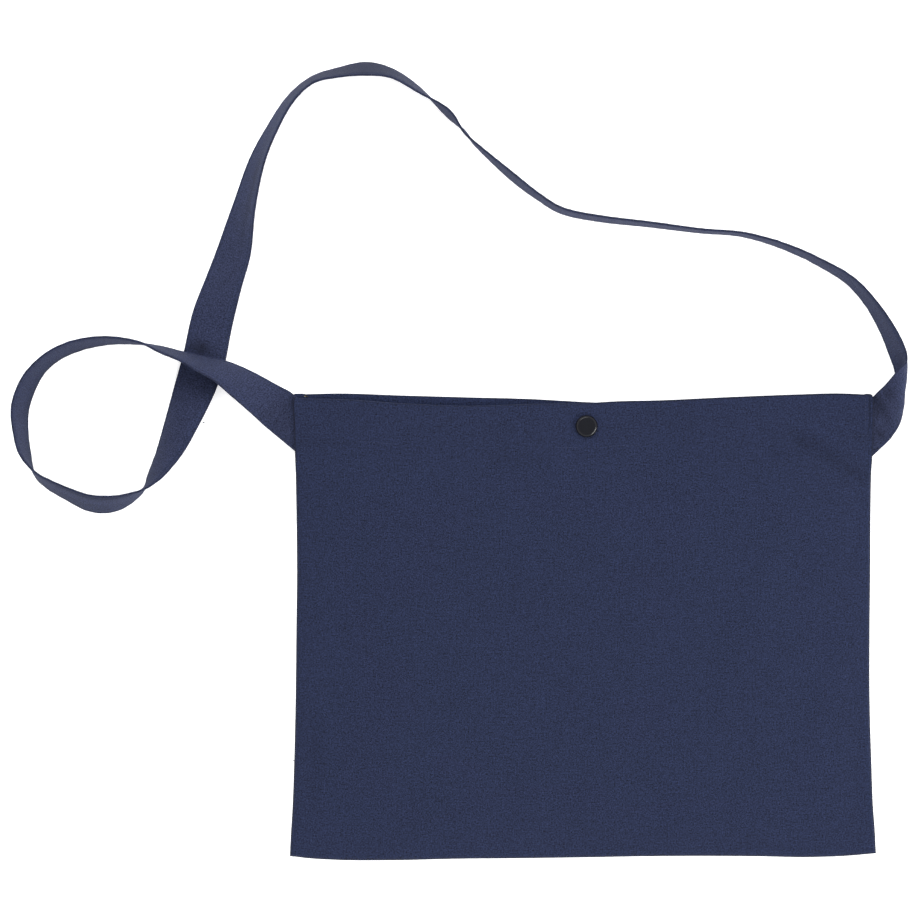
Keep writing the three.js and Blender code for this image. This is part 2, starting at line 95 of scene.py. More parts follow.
# %% Outline tables
SIDE = np.array([  # up, left, right
    (0.00, 1.023, 1.022), (0.05, 1.019, 1.018), (0.10, 1.014, 1.012), (0.20, 1.008, 1.006),
    (0.30, 1.004, 1.001), (0.50, 1.000, 1.000), (0.62, 0.998, 1.002), (0.75, 1.000, 1.003),
    (0.85, 1.003, 1.006), (0.93, 1.007, 1.011), (1.00, 1.013, 1.012)])
BOTTOM = np.array([  # across, lift
    (-1.00, 0.0025), (-0.94, -0.0020), (-0.83, -0.0060), (-0.64, -0.0065), (-0.44, -0.0036),
    (-0.22, -0.0023), (0.03, -0.0001), (0.20, 0.0019), (0.60, 0.0019), (0.77, 0.0001), (0.90, 0.0030),
    (1.00, 0.0085)])
RIM = np.array([  # across, front, back
    (-1.00, 0.997, 1.006), (-0.83, 0.995, 1.008), (-0.64, 0.987, 1.004), (-0.42, 0.981, 1.000),
    (-0.18, 0.985, 0.996), (0.02, 0.987, 0.989), (0.09, 0.990, 0.987), (0.27, 0.993, 0.986),
    (0.51, 1.000, 0.990), (0.76, 1.006, 0.994), (0.88, 1.008, 0.997), (1.00, 1.005, 1.000)])
PUFF = np.array([  # up, full, mouth
    (0.00, 0.00, 0.00), (0.06, 0.35, 0.00), (0.20, 0.75, 0.00), (0.45, 1.00, 0.00),
    (0.75, 0.80, 0.15), (0.90, 0.30, 0.60), (1.00, 0.00, 1.00)])

# %% Reading a table smoothly
def read(table, column, place):
    """A smooth curve through a table's rows: a cubic between each two, whose slopes are the rows' own."""
    x, y = table[:, 0], table[:, column]
    slope = np.gradient(y, x)
    i = np.clip(np.searchsorted(x, place) - 1, 0, len(x) - 2)
    step = x[i + 1] - x[i]
    t = np.clip((place - x[i]) / step, 0, 1)
    return (y[i] * (2 * t**3 - 3 * t**2 + 1) + slope[i] * step * (t**3 - 2 * t**2 + t)
            + y[i + 1] * (3 * t**2 - 2 * t**3) + slope[i + 1] * step * (t**3 - t**2))


def ramp(place, start, end):
    """0 before start, 1 after end and a smooth S between them."""
    t = np.clip((place - start) / (end - start), 0, 1)
    return t * t * (3 - 2 * t)


# %% Places on a panel
RIM_COLUMN = {"front": 1, "back": 2}
mouth_corner = 1.7 * MM
mouth_corner_high = 5 * MM
allowance_fold = 0.5 * MM


def panel_place(across, up, side):
    """x and y of a point that lies a share across, from -1 to 1, and a share up a panel. Over the last 5 mm
    below the rim the side edge curves inwards by a quarter of an ellipse, and the folded seam allowance
    holds the rim up by half a millimetre at both ends."""
    half = np.where(across < 0, read(SIDE, 1, up), read(SIDE, 2, up)) * half_width
    into_corner = np.clip((up - 1) * bag_height / mouth_corner_high + 1, 0, 1)
    half = half - mouth_corner * (1 - np.sqrt(1 - into_corner**2))
    bottom = read(BOTTOM, 1, across) * bag_height
    rim = read(RIM, RIM_COLUMN[side], across) * bag_height
    fold = ramp(across, 0.974, 0.980) * ramp(across, 1.0, 0.996) + ramp(across, -0.968, -0.974)
    fold = fold * allowance_fold * ramp(up, 0.97, 1.0)
    return across * half, bottom + up * (rim - bottom) + fold


# %% [markdown]
# The bag's own corner isn't the frame's origin, which lies under the middle of everything, strap and all.
# The snap's cap is a solid of the frame, so its middle tells where the bag's middle line and bottom are.

# %% The bag's place in the frame
snap_x = snap_across
snap_y = float(np.interp(snap_x / half_width, RIM[:, 0], RIM[:, 1])) * bag_height - snap_down
cap_low, cap_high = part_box("snap_cap")
cap_middle = (Vector(cap_low) + Vector(cap_high)) / 2
bag_x = cap_middle.x - snap_x
bag_y = cap_middle.y - snap_y
bag_origin = np.array([bag_x, bag_y, 0.0])
print("bag's middle line and bottom edge:", round(bag_x, 4), round(bag_y, 4))

# %% [markdown]
# Everything starts from a camera and light that match a product photograph taken from straight above:
# the camera hangs over the middle of the picture, and a long lens keeps the flat bag free of perspective.
# The pale table is far brighter than the navy cloth, so it comes out white, as a studio table does.

# %% Camera
camera_height = 2.5
view_width = 0.64007
sensor_width = 36.0
picture_middle = (-0.0869, 0.2782)
camera_data = bpy.data.cameras.new("camera")
camera_data.sensor_width = sensor_width
camera_data.lens = sensor_width * camera_height / view_width
camera = bpy.data.objects.new("camera", camera_data)
camera.location = (bag_x + picture_middle[0], bag_y + picture_middle[1], camera_height)
bpy.context.scene.collection.objects.link(camera)
bpy.context.scene.camera = camera
print("lens in millimetres:", round(camera_data.lens, 1))

# %% [markdown]
# A soft studio light is a large bright panel. One hangs over the strap and gives the cloth its direction,
# and a long narrow one lies lower right, which opens the shadows and draws the bright line on the snap.
# White walls do the rest. The ceiling behind the camera is darker than they are, so level black enamel
# stays black, while cloth that stands on its edge catches the walls.

# %% Light
def soft_box(name, place, length, depth, power):
    """A light with the given sides in metres that faces the bag, its length level."""
    light = bpy.data.lights.new(name, "AREA")
    light.shape = "RECTANGLE"
    light.size = length
    light.size_y = depth
    light.energy = power
    lamp = bpy.data.objects.new(name, light)
    lamp.location = place
    lamp.rotation_euler = (-Vector(place)).to_track_quat("-Z", "Y").to_euler()
    bpy.context.scene.collection.objects.link(lamp)


soft_box("key light", (-0.5, 1.8, 2.0), 1.6, 1.2, 41)
soft_box("low light", (1.75, -1.05, 1.2), 1.9, 0.26, 42)
world = bpy.data.worlds.new("white walls")
world.use_nodes = True
walls = world.node_tree
direction = walls.nodes.new("ShaderNodeTexCoord").outputs["Generated"]
upward = walls.nodes.new("ShaderNodeSeparateXYZ")
walls.links.new(direction, upward.inputs[0])
ceiling = walls.nodes.new("ShaderNodeMapRange")
ceiling.interpolation_type = "SMOOTHSTEP"
for label, value in (("From Min", 0.72), ("From Max", 0.97), ("To Min", 1.75), ("To Max", 0.55)):
    ceiling.inputs[label].default_value = value
walls.links.new(upward.outputs["Z"], ceiling.inputs["Value"])
walls.links.new(ceiling.outputs["Result"], walls.nodes["Background"].inputs["Strength"])
walls.nodes["Background"].inputs["Color"].default_value = (1.0, 1.0, 1.0, 1.0)
bpy.context.scene.world = world
bpy.context.scene.view_settings.view_transform = "Standard"

# %% [markdown]
# A material is a small graph of nodes. The helpers below add a node with its values set, join two
# sockets and start a finish, so that each recipe further down reads as a short list.

# %% Helpers for nodes
def feed(tree, socket, value):
    """Joins a socket to another one, or sets its value."""
    if isinstance(value, bpy.types.NodeSocket):
        tree.links.new(value, socket)
    else:
        socket.default_value = value


def add(tree, kind, **values):
    """A node of the kind, with its sockets set by name (spaces as underscores) or by its own properties."""
    node = tree.nodes.new(kind)
    for name, value in values.items():
        socket = node.inputs.get(name.replace("_", " "))
        if socket is None:
            setattr(node, name, value)
        else:
            feed(tree, socket, value)
    return node


def maths(tree, operation, *values):
    """A Math node of the operation on one, two or three values or sockets, and its result."""
    node = tree.nodes.new("ShaderNodeMath")
    node.operation = operation
    for socket, value in zip(node.inputs, values):
        feed(tree, socket, value)
    return node.outputs[0]


def blend_colours(tree, factor, first, second):
    """A colour between two, by a factor from 0 to 1."""
    node = tree.nodes.new("ShaderNodeMix")
    node.data_type = "RGBA"
    for number, value in ((0, factor), (6, first), (7, second)):
        feed(tree, node.inputs[number], value)
    return node.outputs[2]


def new_group(name, inputs, outputs):
    """A node group with named inputs (kind, value) and outputs (kind)."""
    tree = bpy.data.node_groups.new(name, "ShaderNodeTree")
    for label, (kind, value) in inputs.items():
        socket = tree.interface.new_socket(label, in_out="INPUT", socket_type=kind)
        if value is not None:
            socket.default_value = value
    for label, kind in outputs.items():
        tree.interface.new_socket(label, in_out="OUTPUT", socket_type=kind)
    return tree, tree.nodes.new("NodeGroupInput").outputs, tree.nodes.new("NodeGroupOutput").inputs


def new_finish(name):
    """A material, its node tree and its shader."""
    finish = bpy.data.materials.new(name)
    finish.use_nodes = True
    return finish, finish.node_tree, finish.node_tree.nodes["Principled BSDF"]


def dress(tree, shader, colour, raised, **values):
    """Gives a shader its colour and its relief, and other sockets by name (spaces as underscores)."""
    tree.links.new(colour, shader.inputs["Base Color"])
    tree.links.new(raised.outputs[0], shader.inputs["Normal"])
    for name, value in values.items():
        feed(tree, shader.inputs[name.replace("_", " ")], value)


# %% [markdown]
# Plain canvas is the simplest weave there is: each thread goes over one and under the next. Two sine
# waves across the cloth say it all. Their product is positive where an upright thread lies on top and
# negative where a level one does, and its size is the roundness of the thread. What makes it look like
# cotton is that no two threads are alike: each has its own shade, and thick places, called slubs.

# %% Group: canvas weave
weave, given, out = new_group(
    "canvas weave",
    {"Cloth": ("NodeSocketVector", None), "Pitch": ("NodeSocketFloat", 0.0007),
     "Shade": ("NodeSocketColor", (0.03, 0.04, 0.1, 1.0)), "Unevenness": ("NodeSocketFloat", 0.3),
     "Mottle": ("NodeSocketFloat", 0.1), "Fuzz": ("NodeSocketFloat", 2.5), "Painted Shade": ("NodeSocketFloat", 0.0)},
    {"Color": "NodeSocketColor", "Height": "NodeSocketFloat"})

wander = add(weave, "ShaderNodeTexNoise", Vector=given["Cloth"], Scale=90.0, Detail=2.0)
wander_back = add(weave, "ShaderNodeVectorMath", operation="SUBTRACT")
weave.links.new(wander.outputs["Color"], wander_back.inputs[0])
wander_back.inputs[1].default_value = (0.5, 0.5, 0.5)
wander_small = add(weave, "ShaderNodeVectorMath", operation="SCALE", Scale=0.0012)
weave.links.new(wander_back.outputs[0], wander_small.inputs[0])
wandered = add(weave, "ShaderNodeVectorMath", operation="ADD")
weave.links.new(given["Cloth"], wandered.inputs[0])
weave.links.new(wander_small.outputs[0], wandered.inputs[1])
threads = add(weave, "ShaderNodeVectorMath", operation="SCALE",
              Scale=maths(weave, "DIVIDE", 1.0, given["Pitch"]))
weave.links.new(wandered.outputs[0], threads.inputs[0])
counted = add(weave, "ShaderNodeSeparateXYZ", Vector=threads.outputs[0]).outputs
wave_x = maths(weave, "SINE", maths(weave, "MULTIPLY", counted["X"], math.pi))
wave_y = maths(weave, "SINE", maths(weave, "MULTIPLY", counted["Y"], math.pi))
over = maths(weave, "MULTIPLY", wave_x, wave_y)
upright = maths(weave, "MULTIPLY", maths(weave, "ABSOLUTE", wave_x),
                maths(weave, "MULTIPLY_ADD", over, 0.5, 0.5))
level = maths(weave, "MULTIPLY", maths(weave, "ABSOLUTE", wave_y),
              maths(weave, "MULTIPLY_ADD", over, -0.5, 0.5))
on_top = maths(weave, "GREATER_THAN", upright, level)


def thread_shade(number, along):
    """A value for each thread that drifts slowly along it: noise over the thread's number and its length."""
    place = add(weave, "ShaderNodeCombineXYZ", X=maths(weave, "FLOOR", number),
                Y=maths(weave, "MULTIPLY", along, 0.13), Z=3.7)
    return add(weave, "ShaderNodeTexNoise", Vector=place.outputs[0], Scale=0.93, Detail=3.0,
               Roughness=0.65).outputs["Fac"]


upright_shade = thread_shade(counted["X"], counted["Y"])
level_shade = thread_shade(counted["Y"], counted["X"])
shade_gap = maths(weave, "SUBTRACT", upright_shade, level_shade)
shade = maths(weave, "MULTIPLY_ADD", shade_gap, on_top, level_shade)
cloudy = add(weave, "ShaderNodeTexNoise", Vector=given["Cloth"], Scale=24.0, Detail=3.0).outputs["Fac"]
round_top = maths(weave, "MAXIMUM", upright, level)
uneven = maths(weave, "MULTIPLY", maths(weave, "SUBTRACT", shade, 0.5), given["Unevenness"])
mottled = maths(weave, "MULTIPLY", maths(weave, "SUBTRACT", cloudy, 0.5), given["Mottle"])
depth = maths(weave, "MULTIPLY_ADD", round_top, 0.45, 0.78)
fibres = add(weave, "ShaderNodeTexNoise", Vector=given["Cloth"], Scale=950.0, Detail=1.0).outputs["Fac"]
fuzzy = maths(weave, "MULTIPLY", maths(weave, "SUBTRACT", fibres, 0.5), given["Fuzz"])
varied = maths(weave, "ADD", maths(weave, "ADD", uneven, mottled), fuzzy)
bright = maths(weave, "MULTIPLY", depth, maths(weave, "MAXIMUM", maths(weave, "ADD", 1.0, varied), 0.1))
# Painted shade: this input darkens the colour by up to a half, and below 0 it is painted light that lightens
# it.
painted_shade_scale = maths(weave, "MULTIPLY_ADD", given["Painted Shade"], -0.5, 1.0)
tinted = add(weave, "ShaderNodeVectorMath", operation="SCALE",
             Scale=maths(weave, "MULTIPLY", bright, painted_shade_scale))
weave.links.new(given["Shade"], tinted.inputs[0])
weave.links.new(tinted.outputs[0], out["Color"])
relief = maths(weave, "MULTIPLY_ADD", shade, 0.6, round_top)
thread_height = maths(weave, "MULTIPLY", given["Pitch"], 0.3)
weave.links.new(maths(weave, "MULTIPLY", relief, thread_height), out["Height"])
print("made the weave group with", len(weave.nodes), "nodes")

# %% [markdown]
# The cloths read the weave along their own UV map, in metres, so that the threads follow the cloth where
# it turns. Each cloth also carries painted shade in a value named edge, which darkens its colour along
# seams, rims and edges, in creases and where the strap crosses itself: 1 is darkest, and below 0 it is
# painted light that makes the cloth a little paler. The sheen is the fuzz of cotton: it lightens a cloth
# that is seen edge on, as on the strap.

# %% Finish: navy canvas
thread_pitch = 0.00072


def woven_cloth(tree, place, pitch, shade, unevenness, mottle):
    """The weave read at a place on the cloth, and the bump that its height gives."""
    woven = tree.nodes.new("ShaderNodeGroup")
    woven.node_tree = weave
    for label, value in (("Cloth", place), ("Pitch", pitch), ("Shade", (*shade, 1.0)),
                         ("Unevenness", unevenness), ("Mottle", mottle)):
        feed(tree, woven.inputs[label], value)
    return woven, add(tree, "ShaderNodeBump", Strength=0.8, Distance=1.0, Height=woven.outputs["Height"])


def canvas_finish(name, shade, sheen):
    """A matt cotton: the weave colours the surface and raises it."""
    finish, tree, shader = new_finish(name)
    place = add(tree, "ShaderNodeUVMap", uv_map="cloth").outputs[0]
    woven, raised = woven_cloth(tree, place, thread_pitch, shade, 1.5, 0.15)
    # The edge attribute carries the cloth's painted shade and, below 0, its painted light.
    painted_shade_attribute = add(tree, "ShaderNodeAttribute", attribute_name="edge").outputs["Fac"]
    tree.links.new(painted_shade_attribute, woven.inputs["Painted Shade"])
    dress(tree, shader, woven.outputs["Color"], raised, Roughness=0.92, Specular_IOR_Level=0.15,
          Sheen_Weight=sheen, Sheen_Roughness=0.45, Sheen_Tint=(0.62, 0.68, 1.0, 1.0))
    return finish


navy = canvas_finish("navy canvas", (0.0095, 0.0137, 0.0358), 0.05)
# The strap is the same canvas as the bag; its lighter colour is painted light.
strap_navy_painted_lighter = canvas_finish("navy strap canvas, painted lighter", (0.0168, 0.0214, 0.0490), 0.035)
print("cloth finishes:", navy.name, strap_navy_painted_lighter.name)

# %% [markdown]
# Sewing thread is a twisted cord. Fine slanted stripes along it are enough at the size that it shows.

# %% Finish: sewing thread
def thread_finish(name, shade):
    """Twisted thread: slanted stripes of light and dark over the piece, by its own coordinates."""
    finish, tree, shader = new_finish(name)
    place = add(tree, "ShaderNodeTexCoord").outputs["Object"]
    twist = add(tree, "ShaderNodeTexWave", Vector=place, Scale=900.0, Distortion=2.0,
                bands_direction="DIAGONAL")
    dark = tuple(value * 0.6 for value in shade)
    colour = blend_colours(tree, twist.outputs["Fac"], (*dark, 1.0), (*shade, 1.0))
    raised = add(tree, "ShaderNodeBump", Strength=0.5, Distance=0.0001, Height=twist.outputs["Fac"])
    dress(tree, shader, colour, raised, Roughness=0.75, Specular_IOR_Level=0.15)
    return finish


thread_navy = thread_finish("navy thread", (0.026, 0.034, 0.072))
thread_pale = thread_finish("undyed thread", (0.26, 0.23, 0.17))
thread_brown = thread_finish("brown thread", (0.035, 0.026, 0.016))
print("thread finishes:", thread_navy.name, thread_pale.name, thread_brown.name)

# %% [markdown]
# The cap is stamped metal under glossy black enamel. Enamel isn't perfectly level: it has a faint orange
# peel and the finest scratches, which show only in its reflections.

# %% Finish: black enamel and blackened metal
def black_finish(name, shade, roughness, metal, peel):
    """A dark finish with small variations of gloss and a slight waviness."""
    finish, tree, shader = new_finish(name)
    place = add(tree, "ShaderNodeTexCoord").outputs["Object"]
    rubbed = add(tree, "ShaderNodeTexNoise", Vector=place, Scale=700.0, Detail=4.0).outputs["Fac"]
    scratched = add(tree, "ShaderNodeTexNoise", Vector=place, Scale=2600.0, Detail=2.0).outputs["Fac"]
    gloss = maths(tree, "MULTIPLY_ADD", maths(tree, "SUBTRACT", rubbed, 0.5), roughness * 0.9, roughness)
    light_shade = tuple(min(1.0, value * 1.8) for value in shade)
    colour = blend_colours(tree, rubbed, (*shade, 1.0), (*light_shade, 1.0))
    raised = add(tree, "ShaderNodeBump", Strength=peel, Distance=0.00005, Height=scratched)
    dress(tree, shader, colour, raised, Roughness=gloss, Metallic=metal, Specular_IOR_Level=0.15)
    return finish


enamel = black_finish("black enamel", (0.0042, 0.0045, 0.0060), 0.12, 0.0, 0.15)
black_metal = black_finish("blackened metal", (0.02, 0.02, 0.022), 0.36, 0.9, 0.3)
print("snap finishes:", enamel.name, black_metal.name)

# %% [markdown]
# Every cloth here is a thin closed form: an outer and an inner face on the same grid, which meet in a
# shared line all round. One helper turns two such grids of points into a mesh with its own UV map.

# %% Helpers: a new piece, and a closed cloth from two faces
def new_piece(name, points, faces, finish):
    """A smooth piece in the scene from its points and faces."""
    mesh = bpy.data.meshes.new(name)
    mesh.from_pydata(points, [], faces)
    mesh.polygons.foreach_set("use_smooth", np.ones(len(mesh.polygons), bool))
    mesh.materials.append(finish)
    piece = bpy.data.objects.new(name, mesh)
    bpy.context.scene.collection.objects.link(piece)
    return piece


def grid_faces(grid):
    """A face for each four neighbours of a grid of point numbers."""
    return np.stack([grid[:-1, :-1], grid[:-1, 1:], grid[1:, 1:], grid[1:, :-1]], -1).reshape(-1, 4)


def cloth_piece(name, outer, inner, flat, edge, finish):
    """Two grids of points (rows, columns, 3) that share their border. flat gives each point's place on
    the cut cloth in metres, and edge its painted shade, with painted light below 0. The faces run
    anticlockwise on the outer side and clockwise on the inner one."""
    rows, columns = outer.shape[:2]
    front = np.arange(rows * columns).reshape(rows, columns)
    behind = front + rows * columns
    behind[0], behind[-1], behind[:, 0], behind[:, -1] = front[0], front[-1], front[:, 0], front[:, -1]
    faces = np.concatenate([grid_faces(front), grid_faces(behind)[:, ::-1]])
    used, faces = np.unique(faces, return_inverse=True)
    faces = faces.reshape(-1, 4)
    points = np.concatenate([outer.reshape(-1, 3), inner.reshape(-1, 3)])[used] + bag_origin
    layout = np.concatenate([flat.reshape(-1, 2)] * 2)[used]
    piece = new_piece(name, points, faces, finish)
    mesh = piece.data
    mesh.uv_layers.new(name="cloth").data.foreach_set("uv", layout[faces.ravel()].ravel())
    # The painted shade of each point goes to the mesh as the edge attribute.
    painted_shade_values = np.concatenate([np.broadcast_to(edge, (rows, columns)).ravel()] * 2)[used]
    mesh.attributes.new("edge", "FLOAT", "POINT").data.foreach_set("value", painted_shade_values)
    print(name, "has", len(faces) * 2, "triangles")
    return piece


# %% [markdown]
# Laid cloth is never flat. It keeps soft waves a few centimetres long and less than a millimetre high.
# A sum of sine waves in many directions gives them, and the directions come from a seeded generator, so
# the cloth is the same each time.

# %% Soft waves
def soft_waves(x, y, seed, shortest, longest, height):
    """The sum of sixteen sine waves over the plane, with random directions, lengths and starts."""
    random = np.random.default_rng(seed)
    total = np.zeros(np.broadcast(x, y).shape)
    for _ in range(16):
        turn, start = random.uniform(0, 2 * math.pi, 2)
        wave = 2 * math.pi / random.uniform(shortest, longest)
        total += np.sin(wave * (x * math.cos(turn) + y * math.sin(turn)) + start)
    return total * height / 4


crease_depth = 1.7
CREASES = np.array([  # from across, from up, to across, to up, reach, height, depth of painted shade (below 0 painted light)
    (0.74, 0.905, 0.96, 0.825, 0.34, -0.14, 0.34), (0.70, 0.875, 0.92, 0.800, 0.40, 0.10, -0.08),
    (0.93, 0.912, 0.985, 0.907, 0.14, -0.03, 0.26), (-0.30, 0.880, -0.15, 0.872, 0.30, -0.08, 0.18),
    (-0.93, 0.140, -0.925, 0.300, 0.30, -0.12, 0.14)])


def creases(across, up, column=5):
    """Each crease is a valley or ridge along a short line, that dies out with the distance from it. The
    column gives what is summed: the height in cloth fullness or the painted shade, dark in the valleys
    and painted light on the ridge."""
    place = np.stack([across * half_width, up * bag_height], -1)
    total = 0
    for row in CREASES:
        start = row[:2] * (half_width, bag_height)
        line = row[2:4] * (half_width, bag_height) - start
        share = np.clip((place - start) @ line / (line @ line), 0, 1)
        away = np.linalg.norm(place - start - share[..., None] * line, axis=-1)
        total = total + row[column] * (1 - ramp(away, 0, row[4] * hem_depth))
    return total


# %% [markdown]
# A stitched hem puckers. The thread pulls a groove into the cloth, and on both sides of it the canvas
# rises in small ripples, one for every two or three stitches.

# %% The hem's stitch line
hem_up = 1 - hem_depth / bag_height
pucker_length = 9 * MM
bar_inset = 3.0 * MM
ridge_inset = 5.6 * MM


def stitched_up(across):
    """The front's stitch line: the hem was folded a little deeper near the snap than at the corners."""
    return hem_up + hem_depth / bag_height * (0.04 - 0.09 * np.exp(-((across - 0.08) / 0.35)**2))


def hem_pucker(x, y, line_y):
    """A groove along the stitching and ripples across it that die out within some millimetres."""
    away = y - line_y
    groove = -0.22 * MM * np.exp(-(away / (0.9 * MM))**2)
    drift = 1.6 * np.sin(x * 61) + 0.9 * np.sin(x * 143 + 1)
    ripple = 0.10 * MM * np.sin(2 * math.pi * x / pucker_length + drift) * np.exp(-(away / (7 * MM))**2)
    step = -0.25 * MM * ramp(away, 2 * MM, -5 * MM) * ramp(away, -16 * MM, -6 * MM)
    return groove + ripple + step


def bar_length(y):
    """1 beside the sewn end of the strap, and 0 from 24 mm below the rim on."""
    return ramp(y, bag_height - 24 * MM, bag_height - 21 * MM)


def corner_bar(across, y):
    """Where the strap's end is sewn down, just inside the right edge: a sharp groove with a soft ridge
    beside it."""
    inside = (1 - across) * half_width
    groove = -0.45 * MM * np.exp(-((inside - bar_inset) / (0.8 * MM))**2)
    ridge = 0.22 * MM * np.exp(-((inside - ridge_inset) / (1.3 * MM))**2)
    return (groove + ridge) * bar_length(y)


# %% [markdown]
# The front and the back are alike: one canvas, doubled inwards for the depth of the hem. Each is a sheet
# between two heights. Its edge is rounded by a quarter of an ellipse, over about the cloth's thickness.

# %% Grid of a panel
def edge_lines(length, step, inner_lines=(), fine_reach=0.0):
    """Places from 0 to the length: even steps in the middle, finer ones within a canvas of each end, and
    half a canvas apart up to the given reach from the far end."""
    fine = np.array([0, 0.04, 0.15, 0.34, 0.62, 1.0, 1.5]) * canvas
    even = np.arange(1, round(length / step)) * step
    even = even[(even > 2.1 * canvas) & (even < length - max(2.1 * canvas, fine_reach))]
    even = np.concatenate([even, np.arange(length - fine_reach, length - 1.8 * canvas, canvas / 2)])
    for line in inner_lines:
        even = even[np.abs(even - line) > 1.2 * canvas]
        even = np.concatenate([even, line + np.array([-0.9, -0.3, 0.3, 0.9]) * canvas])
    return np.sort(np.concatenate([fine, even, length - fine]))


def rounded(distance, reach):
    """0 at an edge and 1 from the reach on, along a quarter of an ellipse."""
    share = np.clip(distance / reach, 0, 1)
    return np.sqrt(1 - (1 - share)**2)


def shaded_edge(distance):
    """Painted shade at an edge: 1 there and 0 from 1.5 mm inside it."""
    return 1 - ramp(distance, 0.3 * MM, 1.5 * MM)


def panel_shares(across, up):
    """What both panels work out over their grid: where the cloth is doubled, how far its rim and its
    seams are rounded, the place on the cut cloth and the distance from the nearer side."""
    doubled = ramp(up, hem_up - 0.35 * canvas / bag_height, hem_up + 0.35 * canvas / bag_height)
    to_side = (1 - np.abs(across)) * half_width
    rim_round = rounded((1 - up) * bag_height, canvas)
    seam_round = rounded(to_side, canvas) * rounded(up * bag_height, canvas)
    flat_place = np.stack([across * half_width, up * bag_height], -1)
    return doubled, rim_round, seam_round, flat_place, to_side


# %% Heights of the front
allowance_inset = 2 * MM
allowance_rise = 1.2 * MM + clearance
strap_window = strap_width / math.cos(strap_angle["right"]) + clearance
window_ramp = hem_depth / 2
seam_gap = 0.1 * MM


def snap_pad(x, y):
    """1 under the snap and 0 away from it."""
    return 1 - ramp(np.hypot(x - snap_x, y - snap_y), cap_diameter * 0.8, cap_diameter * 1.7)


def front_under(across, up, x, y):
    """Underside of the front's canvas: low at the seams, over the strap's ends at the mouth's corners, up
    with the bag's fullness in the middle, and level where the snap holds it."""
    side_inset = (1 - np.abs(across)) * half_width
    over = np.minimum(ramp(side_inset, 0, allowance_inset), ramp(up * bag_height, 0, allowance_inset))
    closed = canvas + clearance + over * allowance_rise
    over_strap = strap_seat + strap_thickness + clearance + canvas
    door = ramp(y, bag_height - strap_window - window_ramp, bag_height - strap_window)
    edge = closed + (over_strap - closed) * door
    crown = 1 - np.abs(across)**4
    mouth_lift = front_hem_under + canvas - edge
    rise = read(PUFF, 1, up) * fullness + read(PUFF, 2, up) * mouth_lift
    rise = rise + crease_depth * fullness * creases(across, up)
    pillow = edge + crown * rise
    return pillow + (front_hem_under + canvas - pillow) * snap_pad(x, y)


def front_outer(across, up):
    """The front's outer face, with its soft waves and its stitched hem."""
    x, y = panel_place(across, up, "front")
    calm = ramp((1 - np.abs(across)) * half_width, 0, 12 * MM) * ramp(up * bag_height, 0, 12 * MM)
    calm = calm * (1 - snap_pad(x, y)) * (1 - 0.6 * ramp(up, hem_up, 1))
    loose = soft_waves(x, y, 4, 26 * MM, 75 * MM, 0.30 * MM) * calm
    line_y = panel_place(across, stitched_up(across), "front")[1]
    height = front_under(across, up, x, y) + canvas + loose + hem_pucker(x, y, line_y) + corner_bar(across, y)
    return x, y, height


# %% Piece: front cloth
across_line = edge_lines(bag_width, 2.0 * MM, fine_reach=9 * MM) / half_width - 1
up_line = edge_lines(bag_height, 1.8 * MM, [hem_up * bag_height], fine_reach=4 * MM) / bag_height
across, up = np.meshgrid(across_line, up_line)
x, y, top = front_outer(across, up)
doubled, rim_round, seam_round, flat_place, to_side = panel_shares(across, up)
thick = canvas * (1 + doubled)
under = top - thick
middle = (top + under) / 2
half = thick / 2 * rim_round
outer_z = middle + half - (thick + clearance - seam_gap) * (1 - seam_round) * np.minimum(rim_round + 0.5, 1)
inner_z = middle - half - (clearance - seam_gap) * (1 - seam_round)
outer_z[:, [0, -1]] = inner_z[:, [0, -1]]
outer_z[[0, -1]] = inner_z[[0, -1]]
outer_z = np.maximum(outer_z, inner_z)
# Painted shade on the front: dark along the side seams, the bottom and the rim, fainter on the rim's left;
# dark in the groove of the stitched corner bar; a soft painted shadow just below the hem's stitch line near
# the left side; and the creases' painted shade and light.
rim_shade = (0.35 + 0.65 * ramp(across, -0.05, 0.10)) * shaded_edge((1 - up) * bag_height)
to_edge = np.minimum(to_side, up * bag_height)
bar = np.exp(-((((1 - across) * half_width) - bar_inset) / (0.7 * MM))**2)
bar = 0.80 * bar * bar_length(y)
below_hem = (stitched_up(across) - up) * bag_height
hem_and_crease_shade = 0.22 * ramp(below_hem, -0.5 * MM, 1.5 * MM) * ramp(below_hem, 6 * MM, 2 * MM)
hem_and_crease_shade = hem_and_crease_shade * ramp(across, -0.70, -0.92) + creases(across, up, 6)
front_painted_shade = np.maximum(np.maximum(shaded_edge(to_edge), rim_shade), bar + hem_and_crease_shade)
front_cloth = cloth_piece("front_cloth", np.stack([x, y, outer_z], -1), np.stack([x, y, inner_z], -1),
                          flat_place, front_painted_shade, navy)
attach(front_cloth, "root")
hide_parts("front_panel")

# %% [markdown]
# The back lies on the table and is flat but for the snap's rear flange. Its edges turn up to meet the
# front in the seam, so here the upper face keeps its height and the lower one comes up to it.

# %% Piece: back cloth
across_line = edge_lines(bag_width, 2.5 * MM) / half_width - 1
up_line = edge_lines(bag_height, 2.5 * MM, [hem_up * bag_height]) / bag_height
across, up = np.meshgrid(across_line, up_line)
x, y = panel_place(across, up, "back")
line_y = panel_place(across, np.full_like(across, hem_up), "back")[1]
table = back_hem_under * snap_pad(x, y) - np.minimum(hem_pucker(x, y, line_y), 0) * (up < 0.999)
doubled, rim_round, seam_round, flat_place, to_side = panel_shares(across, up)
rim_wave = 0.5 * MM * ramp(up, hem_up, 1) * (1 + soft_waves(x, y, 9, 40 * MM, 90 * MM, 1)) * (1 - across**8)
rim_wave = rim_wave * (1 - snap_pad(x, y))
upper = table + canvas * (1 + doubled)
middle = (upper + table) / 2
half = (upper - table) / 2
outer_z = middle + half * rim_round + rim_wave
inner_z = middle - half * rim_round + 2 * half * (1 - seam_round) + rim_wave
inner_z[:, [0, -1]] = outer_z[:, [0, -1]]
